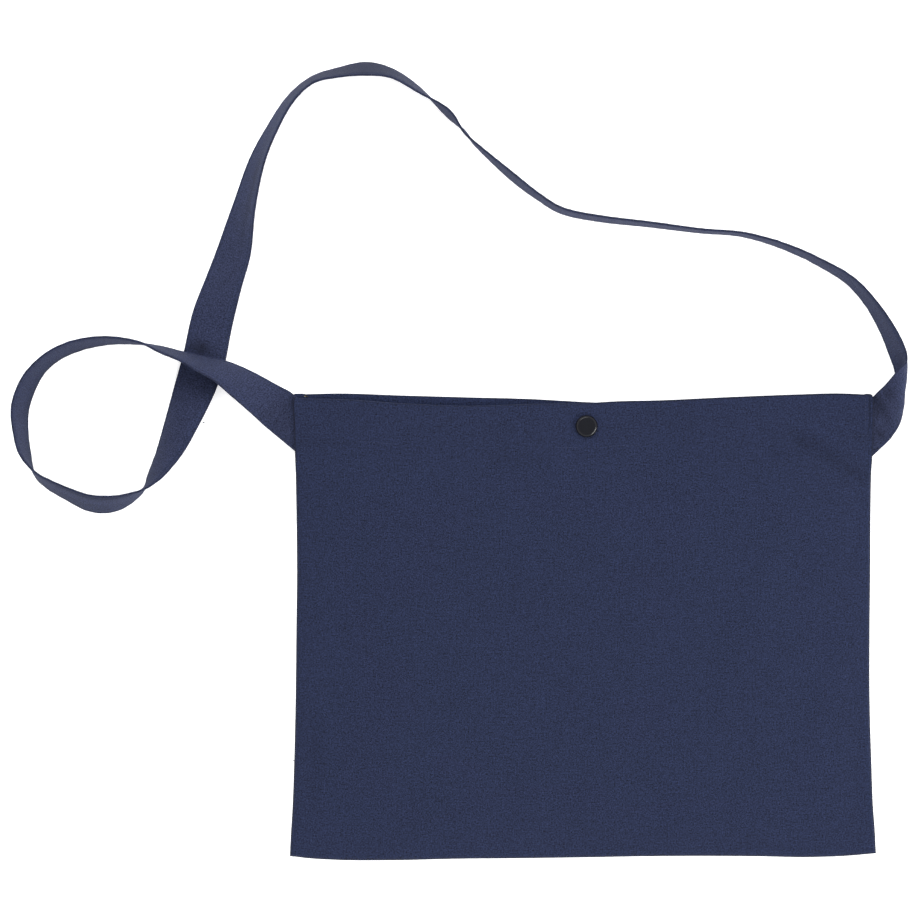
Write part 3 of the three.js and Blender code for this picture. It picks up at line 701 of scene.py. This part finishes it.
inner_z[[0, -1]] = outer_z[[0, -1]]
inner_z = np.minimum(inner_z, outer_z)
to_edge = np.minimum(np.minimum(to_side, up * bag_height), (1 - up) * bag_height)
# Painted shade along the back's edges, and painted light on the top of the back inside the mouth, where the
# front shades it.
back_shade_and_light = shaded_edge(to_edge) - 0.60 * ramp(up, 0.97, 0.99)
back_cloth = cloth_piece("back_cloth", np.stack([x, y, outer_z], -1), np.stack([x, y, inner_z], -1),
                         flat_place, back_shade_and_light, navy)
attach(back_cloth, "root")
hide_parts("back_panel")

# %% [markdown]
# The strap is one long folded band that stands on its edge or lies over, as the photograph shows. Each
# row of its table is one section: where its middle is, across the bag and up from the mouth as shares of
# half the width and of the strap's rise, the way that its width points, the angle that it curves through,
# and how many strap layers it lies above the table. Its two ends run down into the mouth's corners.

# %% The strap's route
STRAP = np.array([  # across, up, east, north, rise, bow, lift
    (-1.100, -0.011, -0.58, -0.66, 0.40, -15, 1.3), (-1.185, 0.043, -0.49, -0.55, 0.67, -20, 1.6),
    (-1.255, 0.081, -0.30, -0.45, 0.84, -20, 1.9), (-1.325, 0.101, -0.14, -0.34, 0.93, -10, 1.8),
    (-1.392, 0.121, -0.04, -0.22, 0.98, 0, 1.4), (-1.465, 0.142, 0.03, -0.16, 0.99, 0, 0.5),
    (-1.545, 0.163, 0.06, 0.02, 1.00, 0, 0), (-1.645, 0.170, 0.05, 0.13, 0.99, 0, 0),
    (-1.738, 0.159, 0.02, 0.20, 0.98, 0, 0), (-1.821, 0.133, -0.05, 0.21, 0.98, 0, 0),
    (-1.884, 0.092, -0.13, 0.19, 0.97, 0, 0), (-1.928, 0.038, -0.25, 0.14, 0.96, 0, 0),
    (-1.956, -0.035, -0.28, 0.06, 0.96, 0, 0), (-1.953, -0.110, -0.21, -0.05, 0.98, 0, 0),
    (-1.938, -0.172, -0.12, -0.05, 0.99, 0, 0), (-1.905, -0.230, 0.13, 0.05, 0.99, 0, 0),
    (-1.858, -0.263, 0.19, 0.17, 0.97, 0, 0), (-1.789, -0.294, 0.18, 0.26, 0.95, 0, 0),
    (-1.722, -0.319, 0.14, 0.36, 0.92, 0, 0), (-1.657, -0.325, 0.08, 0.39, 0.92, 0, 0),
    (-1.595, -0.314, 0.02, 0.28, 0.96, 0, 0), (-1.531, -0.282, 0.07, 0.04, 1.00, 5, 0),
    (-1.496, -0.239, 0.34, -0.11, 0.93, 20, 0), (-1.468, -0.197, 0.49, -0.18, 0.85, 30, 0),
    (-1.439, -0.147, 0.65, -0.21, 0.73, 40, 0), (-1.410, -0.085, 0.78, -0.24, 0.58, 50, 0),
    (-1.380, -0.024, 0.88, -0.25, 0.39, 48, 0), (-1.350, 0.040, 0.94, -0.26, 0.18, 30, 0),
    (-1.321, 0.120, 0.97, -0.26, 0.00, 10, 0), (-1.294, 0.231, 0.95, -0.27, 0.15, 0, 0),
    (-1.253, 0.342, 0.85, -0.28, 0.44, 0, 0), (-1.210, 0.445, 0.78, -0.27, 0.57, -20, 0),
    (-1.172, 0.572, 0.55, -0.21, 0.81, -30, 0), (-1.129, 0.706, 0.39, -0.18, 0.91, -25, 0),
    (-1.080, 0.806, 0.27, -0.18, 0.95, -10, 0), (-1.019, 0.897, 0.17, -0.21, 0.96, 0, 0),
    (-0.944, 0.955, 0.09, -0.23, 0.97, 0, 0), (-0.855, 0.978, 0.05, -0.30, 0.95, 0, 0),
    (-0.755, 0.990, 0.01, -0.39, 0.92, 0, 0), (-0.663, 0.975, -0.03, -0.29, 0.96, 0, 0),
    (-0.570, 0.925, -0.02, -0.20, 0.98, 0, 0), (-0.472, 0.857, 0.06, 0.05, 1.00, 0, 0),
    (-0.415, 0.801, -0.03, -0.10, 0.99, 0, 0), (-0.370, 0.758, 0.02, -0.04, 1.00, 0, 0),
    (-0.250, 0.666, 0.05, 0.06, 1.00, 0, 0), (-0.154, 0.602, 0.02, 0.05, 1.00, 0, 0),
    (-0.070, 0.560, 0.01, 0.05, 1.00, 0, 0), (0.060, 0.537, 0.00, 0.05, 1.00, 0, 0),
    (0.230, 0.520, 0.00, 0.03, 1.00, 0, 0), (0.403, 0.501, 0.00, 0.01, 1.00, 0, 0),
    (0.557, 0.489, 0.00, 0.01, 1.00, 0, 0), (0.708, 0.450, 0.00, 0.04, 1.00, 0, 0),
    (0.840, 0.396, 0.00, 0.08, 1.00, 0, 0), (0.932, 0.345, 0.06, 0.08, 1.00, 0, 0),
    (1.002, 0.276, 0.15, 0.04, 0.99, 0, 0), (1.056, 0.200, 0.24, 0.03, 0.97, 0, 0),
    (1.091, 0.136, 0.27, 0.05, 0.96, 10, 0), (1.115, 0.096, 0.15, 0.13, 0.98, 60, 0),
    (1.119, 0.060, -0.08, 0.33, 0.94, 95, 0), (1.110, 0.020, -0.34, 0.56, 0.76, 85, 0),
    (1.087, -0.014, -0.43, 0.78, 0.45, 50, 0.3), (1.062, -0.039, -0.50, 0.81, 0.25, 20, 0.9)])


def strap_end_rows(corner):
    """Three sections at a mouth corner: at the corner and swung a little towards the seam, then across the
    seam, then hidden inside the bag."""
    side = "left" if corner < 0 else "right"
    angle = strap_angle[side]
    away = np.array([corner * math.cos(angle), math.sin(angle)])
    corner_x = corner * strap_corner[side][0] * half_width
    corner_y = strap_corner[side][1] * bag_height
    to_seam = math.tan(angle) * strap_width / 2
    rows = []
    for back, swing in ((0, strap_swing[side]), (to_seam, 0), (to_seam + strap_hidden[side], 0)):
        widthways = np.array([-math.sin(angle - swing), corner * math.cos(angle - swing)])
        middle = np.array([corner_x, corner_y - bag_height])
        middle = middle - corner * (strap_width / 2 + clearance) * widthways - away * back
        lift = strap_seat / strap_layer
        rows.append((middle[0] / half_width, middle[1] / strap_rise, *widthways, 0, 0, lift))
    return rows


route = np.array([*strap_end_rows(-1)[::-1], *STRAP, *strap_end_rows(1)])
print("sections of the strap:", len(route))

# %% [markdown]
# Between the rows the strap runs on smooth curves. A uniform Catmull-Rom spline passes through every row,
# and its slope at a row is half the step from the row before to the row after.

# %% Stations along the strap
stations_per_row = 10


def spline(rows, per_row):
    """All columns of the table at even shares between its rows: the cubic Hermite curve whose slope at a
    row is half the difference of its two neighbours."""
    padded = np.concatenate([rows[:1], rows, rows[-1:]])
    slope = (padded[2:] - padded[:-2]) / 2
    place = np.arange((len(rows) - 1) * per_row + 1) / per_row
    i = np.minimum(place.astype(int), len(rows) - 2)
    t = (place - i)[:, None]
    return (rows[i] * (2 * t**3 - 3 * t**2 + 1) + slope[i] * (t**3 - 2 * t**2 + t)
            + rows[i + 1] * (3 * t**2 - 2 * t**3) + slope[i + 1] * (t**3 - t**2))


station = spline(route, stations_per_row)
centre = np.stack([station[:, 0] * half_width, station[:, 1] * strap_rise, np.zeros(len(station))], -1)
along = np.gradient(centre, axis=0)
along /= np.linalg.norm(along, axis=1, keepdims=True)
strap_length = np.concatenate([[0], np.cumsum(np.linalg.norm(np.diff(centre, axis=0), axis=1))])
print("stations:", len(station), "length of the strap:", round(float(strap_length[-1]), 3), "m")

# %% [markdown]
# A section is a straight line across the strap, or an arc of a circle where the strap cups. The two faces
# lie half a thickness on each side, close together at the rounded edges, with a shallow groove where the
# topstitching runs 2.5 mm inside each edge. Last, the section is let down until its lowest point touches
# what it lies on.

# %% Sections of the strap
stitch_inset = 2.5 * MM
cloth_over_table = 0.02 * MM
stitch_over_table = 0.2 * MM


def strap_points(sideways_place, off_face):
    """Points at given places across the strap (metres from its middle line, one row per station or the
    same for all) and at a height off its middle surface. The place turns by bend times its share of the
    width, so x = sin(turn) / bend and z = (1 - cos(turn)) / bend, in widths."""
    width = station[:, 2:5].copy()
    width[:, 2] = np.maximum(width[:, 2], 0)
    width /= np.linalg.norm(width, axis=1, keepdims=True)
    normal = np.cross(along, width)
    normal /= np.linalg.norm(normal, axis=1, keepdims=True)
    bend = np.radians(station[:, 5])
    bend = np.where(np.abs(bend) < 1e-4, 1e-4, bend)[:, None]
    turn = bend * sideways_place / strap_width
    across_part = (np.sin(turn) / bend * strap_width - off_face * np.sin(turn))[..., None]
    off_part = ((1 - np.cos(turn)) / bend * strap_width + off_face * np.cos(turn))[..., None]
    base = centre + np.array([0, bag_height, 0])
    return base[:, None] + width[:, None] * across_part + normal[:, None] * off_part


edge_share = np.array([0, 0.06, 0.22, 0.5, 1.0]) * strap_thickness / 2
inner_places = np.array([1.7, 2.2, 2.5, 2.8, 3.4, 4.6, 6.2, 8.0, 9.8, 11.6, 13.4]) * MM
half_places = np.concatenate([edge_share, inner_places]) - strap_width / 2
across_places = np.concatenate([half_places, [0], -half_places[::-1]])[None, :]
to_edge_of_strap = strap_width / 2 - np.abs(across_places)
swell = 0.10 * MM * ramp(to_edge_of_strap, stitch_inset, 7 * MM)
groove = 0.28 * MM * np.exp(-((to_edge_of_strap - stitch_inset) / (0.55 * MM))**2)
drift = np.sin(strap_length * 50) * 1.4
pucker = 0.09 * MM * np.sin(2 * math.pi * strap_length / (8 * MM) + drift)[:, None]
pucker = pucker * np.exp(-((to_edge_of_strap - stitch_inset) / (2.6 * MM))**2)
end_round = rounded(np.minimum(strap_length, strap_length[-1] - strap_length), canvas)[:, None]
half_thick = strap_thickness / 2 * rounded(to_edge_of_strap, strap_thickness / 2) + swell - groove
half_thick = half_thick * end_round
lowest = strap_points(across_places, half_thick)[..., 2].min(1)
lowest = np.minimum(lowest, strap_points(across_places, -half_thick)[..., 2].min(1))
seat = np.maximum(station[:, 6], 0) * strap_layer - lowest


def strap_surface(sideways_place, off_face):
    """The same points, let down to where the section lies."""
    points = strap_points(sideways_place, off_face)
    points[..., 2] += seat[:, None]
    return points


# %% [markdown]
# A strap that has been folded away keeps soft creases across it, most of all where it turns over and
# where it is sewn in. Each row of this table is one: its place as a share of the strap's length from the
# left end, how far it slants, its half width as a share of the strap's, its height in strap thicknesses,
# and the part of the width that it crosses.

# %% Folds across the strap
FOLDS = np.array([  # run, slant, reach, height, from, to
    (0.966, 0.5, 0.10, -0.34, -0.5, 0.3), (0.976, 0.5, 0.10, -0.30, -0.4, 0.5),
    (0.958, 0.3, 0.14, 0.26, -0.5, 0.5), (0.842, -0.9, 0.05, 0.22, -0.5, 0.5),
    (0.850, -0.9, 0.06, -0.26, -0.5, 0.5), (0.880, -1.2, 0.06, 0.24, -0.5, 0.5),
    (0.893, -1.2, 0.06, -0.22, -0.5, 0.5), (0.400, 0.1, 0.16, 0.45, -0.5, 0.5),
    (0.387, 0.1, 0.13, -0.40, -0.5, 0.5), (0.330, 0.6, 0.10, 0.20, -0.5, 0.5),
    (0.300, -0.6, 0.12, -0.18, -0.5, 0.5), (0.145, 0.3, 0.10, 0.18, -0.5, 0.5)])


def folds(sideways_place):
    """The sum of all folds: each a bell curve along the strap, moved with the place across by its slant."""
    share = sideways_place / strap_width
    total = 0
    for run, slant, reach, height, start, end in FOLDS:
        away = strap_length[:, None] - run * strap_length[-1] - slant * sideways_place
        bell = np.exp(-(away / (reach * strap_width))**2)
        part = ramp(share, start - 0.15, start + 0.15) * ramp(share, end + 0.15, end - 0.15)
        total = total + height * strap_thickness * bell * part
    return total


# %% Piece: strap cloth
wrinkle = (pucker + folds(across_places)) * end_round
right_face = strap_surface(across_places, half_thick + wrinkle)
left_face = strap_surface(across_places, -half_thick + wrinkle)
left_face[:, [0, -1]] = right_face[:, [0, -1]]
left_face[[0, -1]] = right_face[[0, -1]]
for face in (left_face, right_face):
    face[..., 2] = np.maximum(face[..., 2], cloth_over_table)
flat_place = np.stack(np.broadcast_arrays(across_places, strap_length[:, None]), -1)
# Painted shade where the strap runs down into the bag at both ends.
from_end = np.minimum(strap_length - 30 * MM, strap_length[-1] - 34 * MM - strap_length)[:, None]
strap_shade_and_light = 0.35 * np.exp(-(np.maximum(from_end, 0) / (9 * MM))**2)
# Painted shade and light on the strap: a painted shadow on the lower strap where it crosses itself, shade in
# the folds near its right end, darker and lighter streaks along its loop, and a darker run along the top.
PAINTED_SHADES = np.array([  # run, across, reach along and across in millimetres, depth of painted shade (below 0 painted light)
    (0.387, -4.0, 5.0, 8.0, 1.00), (0.967, 8.0, 4.0, 4.0, 0.60), (0.977, 7.0, 3.5, 5.0, 0.60),
    (0.984, -8.0, 3.0, 4.0, 0.55), (0.190, -13.0, 70, 6.0, 0.50), (0.185, 9.0, 60, 4.0, -0.25),
    (0.265, 13.5, 45, 4.0, 0.80), (0.262, 3.0, 35, 1.8, -0.30), (0.262, -6.0, 45, 14.0, 0.35),
    (0.145, -13.0, 25, 5.0, 0.40), (0.580, 0.0, 50, 30.0, 0.85), (0.485, 4.0, 40, 4.0, 0.60),
    (0.545, -12.0, 30, 4.0, -0.60), (0.618, -12.0, 22, 4.0, -0.50)])
for run, sideways, reach_along, reach_across, depth in PAINTED_SHADES:
    bell = np.exp(-((strap_length[:, None] - run * strap_length[-1]) / (reach_along * MM))**2)
    strap_shade_and_light = strap_shade_and_light + depth * bell * np.exp(-((across_places - sideways * MM) / (reach_across * MM))**2)
# A dark painted line of shade along both edges of the strap.
strap_painted_shading = np.maximum(0.6 * (1 - ramp(to_edge_of_strap, 0.2 * MM, 1.1 * MM)), strap_shade_and_light)
strap_cloth = cloth_piece("strap_cloth", left_face, right_face, flat_place, strap_painted_shading, strap_navy_painted_lighter)
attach(strap_cloth, "root")
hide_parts("strap")

# %% [markdown]
# The cap of the snap is a turned form: a profile of radius and height carried once round. It has a low
# skirt, a wide bevel and a flat top, and every change of slope is rounded, because that is where enamel
# catches the light.

# %% Piece: snap cap
def rounded_profile(corners, radius, steps=6):
    """A line through the corners, each rounded by a quadratic curve that starts a radius before it."""
    corners = np.array(corners, float)
    points = [corners[:1]]
    share = np.linspace(0, 1, steps)[:, None]
    for before, corner, after in zip(corners[:-2], corners[1:-1], corners[2:]):
        reach_in = min(radius, np.linalg.norm(corner - before) * 0.45)
        reach_out = min(radius, np.linalg.norm(after - corner) * 0.45)
        start = corner + (before - corner) / np.linalg.norm(before - corner) * reach_in
        end = corner + (after - corner) / np.linalg.norm(after - corner) * reach_out
        points.append((1 - share)**2 * start + 2 * share * (1 - share) * corner + share**2 * end)
    points.append(corners[-1:])
    return np.concatenate(points)


def turned_piece(name, profile, place, sides, finish):
    """The profile's points (radius, height) from pole to pole, turned about an upright axis."""
    angle = np.arange(sides) * 2 * math.pi / sides
    radius, height = profile[1:-1, 0], profile[1:-1, 1]
    ring = np.stack([radius[:, None] * np.cos(angle), radius[:, None] * np.sin(angle),
                     np.broadcast_to(height[:, None], (len(radius), sides))], -1).reshape(-1, 3)
    points = np.concatenate([ring, [[0, 0, profile[0, 1]], [0, 0, profile[-1, 1]]]]) + place
    index = np.arange(len(ring)).reshape(len(radius), sides)
    turned_on = np.roll(index, -1, axis=1)
    quads = np.stack([index[:-1], turned_on[:-1], turned_on[1:], index[1:]], -1).reshape(-1, 4)
    foot = np.stack([turned_on[0], index[0], np.full(sides, len(ring))], -1)
    crown = np.stack([index[-1], turned_on[-1], np.full(sides, len(ring) + 1)], -1)
    piece = new_piece(name, points, [*quads.tolist(), *foot.tolist(), *crown.tolist()], finish)
    print(name, "has", len(quads) * 2 + sides * 2, "triangles")
    return piece


cap_radius = cap_diameter / 2
post_radius = 1.7 * MM
cap_foot = cap_low[2] - cap_high[2] + cap_height
cap_corners = [
    (0, cap_foot), (post_radius, cap_foot), (post_radius, 0), (cap_radius, 0), (cap_radius, cap_edge),
    (cap_radius - cap_bevel * 0.45, cap_edge + (cap_height - cap_edge) * 0.68),
    (cap_radius - cap_bevel, cap_height), (0, cap_height)]
cap_place = np.array([cap_middle.x, cap_middle.y, cap_high[2] - cap_height])
snap_cap = turned_piece("snap_cap_enamel", rounded_profile(cap_corners, 0.35 * MM), cap_place, 72, enamel)
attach(snap_cap, "root")
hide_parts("snap_cap")

# %% [markdown]
# Stitches are small, but they are what makes a hem a hem. One stitch is a short bar of thread, thicker in
# its middle, whose ends dive into the cloth. A whole row is made at once: the template's points are
# turned to each stitch's own directions with one multiplication.

# %% Helper: a row of stitches
def stitch_row(line, up_way, pitch, length, thickness):
    """Stitches every pitch along a line of points, with the way up at each point. A stitch is a bar with
    five rings of six points: its radius falls off towards its ends as the root of 1 - t squared, and its
    middle line dips by t squared. Returns points and faces."""
    run = np.concatenate([[0], np.cumsum(np.linalg.norm(np.diff(line, axis=0), axis=1))])
    at = np.arange(pitch / 2, run[-1], pitch)

    def sample(values, place):
        return np.stack([np.interp(place, run, values[:, k]) for k in range(3)], -1)

    middle = sample(line, at)
    forward = sample(line, at + length / 2) - sample(line, at - length / 2)
    forward /= np.linalg.norm(forward, axis=1, keepdims=True)
    upward = sample(up_way, at)
    upward -= (upward * forward).sum(1, keepdims=True) * forward
    upward /= np.linalg.norm(upward, axis=1, keepdims=True)
    sideways = np.cross(upward, forward)
    t = np.array([-1.0, -0.75, 0.0, 0.75, 1.0])
    round_angle = np.arange(6) * math.pi / 3
    radius = np.sqrt(1 - 0.92 * t**2) * thickness / 2
    local = np.stack([
        np.repeat(t * length / 2, 6),
        (radius[:, None] * np.cos(round_angle)).ravel(),
        (radius[:, None] * np.sin(round_angle) * 0.8 - (t**2)[:, None] * thickness * 0.35).ravel()], -1)
    axes = np.stack([forward, sideways, upward], 1)
    points = middle[:, None] + np.einsum("pk,nkc->npc", local, axes)
    ring = np.arange(30).reshape(5, 6)
    next_ring = np.roll(ring, -1, axis=1)
    quads = np.stack([ring[:-1], next_ring[:-1], next_ring[1:], ring[1:]], -1).reshape(-1, 4)
    ends = np.array([[0, 3, 2, 1], [0, 5, 4, 3], [24, 25, 26, 27], [24, 27, 28, 29]])
    faces = np.concatenate([quads, ends])[None] + 30 * np.arange(len(at))[:, None, None]
    return points.reshape(-1, 3), faces.reshape(-1, 4)


def stitch_piece(name, rows, finish):
    """Joins several rows of stitches into one piece."""
    points = [row[0] for row in rows]
    starts = np.cumsum([0] + [len(part) for part in points[:-1]])
    faces = np.concatenate([row[1] + start for row, start in zip(rows, starts)])
    piece = new_piece(name, np.concatenate(points) + bag_origin, faces, finish)
    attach(piece, "root")
    print(name, "has", len(faces) * 2, "triangles")
    return piece


# %% Pieces: stitching of the bag
stitch_length = 2.3 * MM
stitch_pitch = 3.0 * MM
thread_thick = 0.36 * MM
upwards = np.array([0.0, 0.0, 1.0])
hem_points = 400
corner_points = 40


def front_line(across, up, lift=0.0):
    """A line over the front's outer face, at places given as shares, and the way up along it."""
    x, y, height = front_outer(across, up)
    return np.stack([x, y, height + lift], -1), np.broadcast_to(upwards, (len(x), 3))


hem_across = np.linspace(-0.985, 0.985, hem_points)
sunk = np.full(hem_points, -0.12 * MM)
for shown, reach in ((-0.72, 0.07), (-0.05, 0.03), (0.10, 0.10), (0.955, 0.04)):
    sunk = sunk + 0.24 * MM * np.exp(-((hem_across - shown) / reach)**2)
hem_row = stitch_row(*front_line(hem_across, stitched_up(hem_across), sunk), stitch_pitch, stitch_length,
                     thread_thick)
corner_rows = []
for inside, lift in ((bar_inset, -0.12 * MM), (5.9 * MM, 0.06 * MM)):
    corner_up = np.linspace(1 - 22 * MM / bag_height, 1 - 3 * MM / bag_height, corner_points)
    line = front_line(np.full(corner_points, 1 - inside / half_width), corner_up, lift)
    corner_rows.append(stitch_row(*line, 2.4 * MM, 2.0 * MM, thread_thick))
front_stitching = stitch_piece("front_stitching", [hem_row, *corner_rows], thread_navy)

back_x, back_y = panel_place(hem_across, np.full(hem_points, hem_up), "back")
back_line = np.stack([back_x, back_y, np.full(hem_points, 0.22 * MM)], -1)
back_row = stitch_row(back_line, np.broadcast_to(-upwards, (hem_points, 3)), stitch_pitch, stitch_length,
                      thread_thick)
back_stitching = stitch_piece("back_stitching", [back_row], thread_navy)

# %% Piece: stitching of the strap
strap_rows = []
for edge in (-1, 1):
    for face in (-1, 1):
        places = np.full((1, 1), edge * (strap_width / 2 - stitch_inset))
        level = strap_thickness / 2 - 0.18 * MM
        bent = folds(places)
        line = strap_surface(places, bent + face * level)[:, 0]
        lifted = strap_surface(places, bent + face * (level + MM))[:, 0]
        line[:, 2] = np.maximum(line[:, 2], stitch_over_table)
        strap_rows.append(stitch_row(line, lifted - line, stitch_pitch, stitch_length, thread_thick))
strap_stitching = stitch_piece("strap_stitching", strap_rows, thread_navy)

# %% [markdown]
# Two ends of thread were left uncut, one on the strap's edge and one on the left side seam. In the left
# corner of the mouth the serging of the raw edge shows, in brown thread with a few undyed loops.

# %% Pieces: loose threads and serging
def thread_end(place, direction, length, thickness):
    """One stitch on its own that starts at a place and points along the table."""
    start = np.array(place, float)
    line = np.stack([start, start + np.array([*direction, 0.0]) * length])
    return stitch_row(line, np.broadcast_to(upwards, (2, 3)), length, length, thickness)


strap_end = thread_end((-265.6 * MM, 302.8 * MM, 2.2 * MM), (0.90, 0.44), 2.2 * MM, 0.5 * MM)
strap_thread = stitch_piece("strap_thread_end", [strap_end], thread_navy)
seam_x, seam_y = panel_place(np.float64(-1), np.float64(0.208), "front")
seam_end = thread_end((seam_x + 0.5 * MM, seam_y, 1.6 * MM), (-0.95, 0.3), 1.8 * MM, 0.5 * MM)
seam_thread = stitch_piece("seam_thread_end", [seam_end], thread_navy)
serge_across = np.linspace(-0.964, -0.949, 12)
serge_x, serge_y = panel_place(serge_across, np.full(12, 0.9955), "back")
serge_line = np.stack([serge_x, serge_y, np.full(12, hem_thickness + 0.25 * MM)], -1)
for turn, thread, name, loop_places in ((0.6, thread_brown, "serging_brown", serge_line[2:]),
                                        (-0.5, thread_pale, "serging_pale", serge_line[:2])):
    loops = [thread_end(point, (math.cos(turn + 0.4 * k), math.sin(turn + 0.4 * k)), 1.3 * MM, 0.36 * MM)
             for k, point in enumerate(loop_places)]
    stitch_piece(name, loops, thread)

# %% [markdown]
# Some solids of the frame are right as they are: the snap's inner parts and the raw edges inside the bag.
# They keep their meshes and get their finishes.

# %% Finishes of the frame's own solids
def edge_finish():
    """The overlocked raw edge: the same weave, coarser, by the solid's own coordinates."""
    finish, tree, shader = new_finish("overlocked raw edge")
    place = add(tree, "ShaderNodeTexCoord").outputs["Object"]
    woven, raised = woven_cloth(tree, place, 0.0011, (0.010, 0.014, 0.034), 0.8, 0.1)
    dress(tree, shader, woven.outputs["Color"], raised, Roughness=0.95)
    return finish


raw_edge = edge_finish()
KEPT = {"snap_socket": black_metal, "snap_stud": black_metal, "snap_post": black_metal,
        "seam_left": raw_edge, "seam_right": raw_edge, "seam_bottom": raw_edge}
print("kept solids:", sorted(KEPT))
for node_name, finish in KEPT.items():
    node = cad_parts[node_name]
    if not node.material_slots:
        node.data.materials.append(finish)
    for slot_of_node in node.material_slots:
        slot_of_node.material = finish

# %% [markdown]

# %% [markdown]
# The table is a wide pale sheet under everything, lit a little from below as a shadowless table is. It
# isn't part of the object.

# %% Floor
floor_size = 8.0
floor_count = 9
floor_height = -0.0002
floor_line = np.linspace(-floor_size / 2, floor_size / 2, floor_count)
floor_x, floor_y = np.meshgrid(floor_line, floor_line)
floor_points = np.stack([floor_x.ravel(), floor_y.ravel(), np.full(floor_count**2, floor_height)], -1)
floor_index = np.arange(floor_count**2).reshape(floor_count, floor_count)
floor_finish, floor_tree, floor_shader = new_finish("pale floor")
for label, value in (("Base Color", (0.93, 0.93, 0.93, 1.0)), ("Roughness", 0.9),
                     ("Emission Color", (1.0, 1.0, 1.0, 1.0)), ("Emission Strength", 0.35)):
    feed(floor_tree, floor_shader.inputs[label], value)
floor = new_piece("floor", floor_points, grid_faces(floor_index), floor_finish)
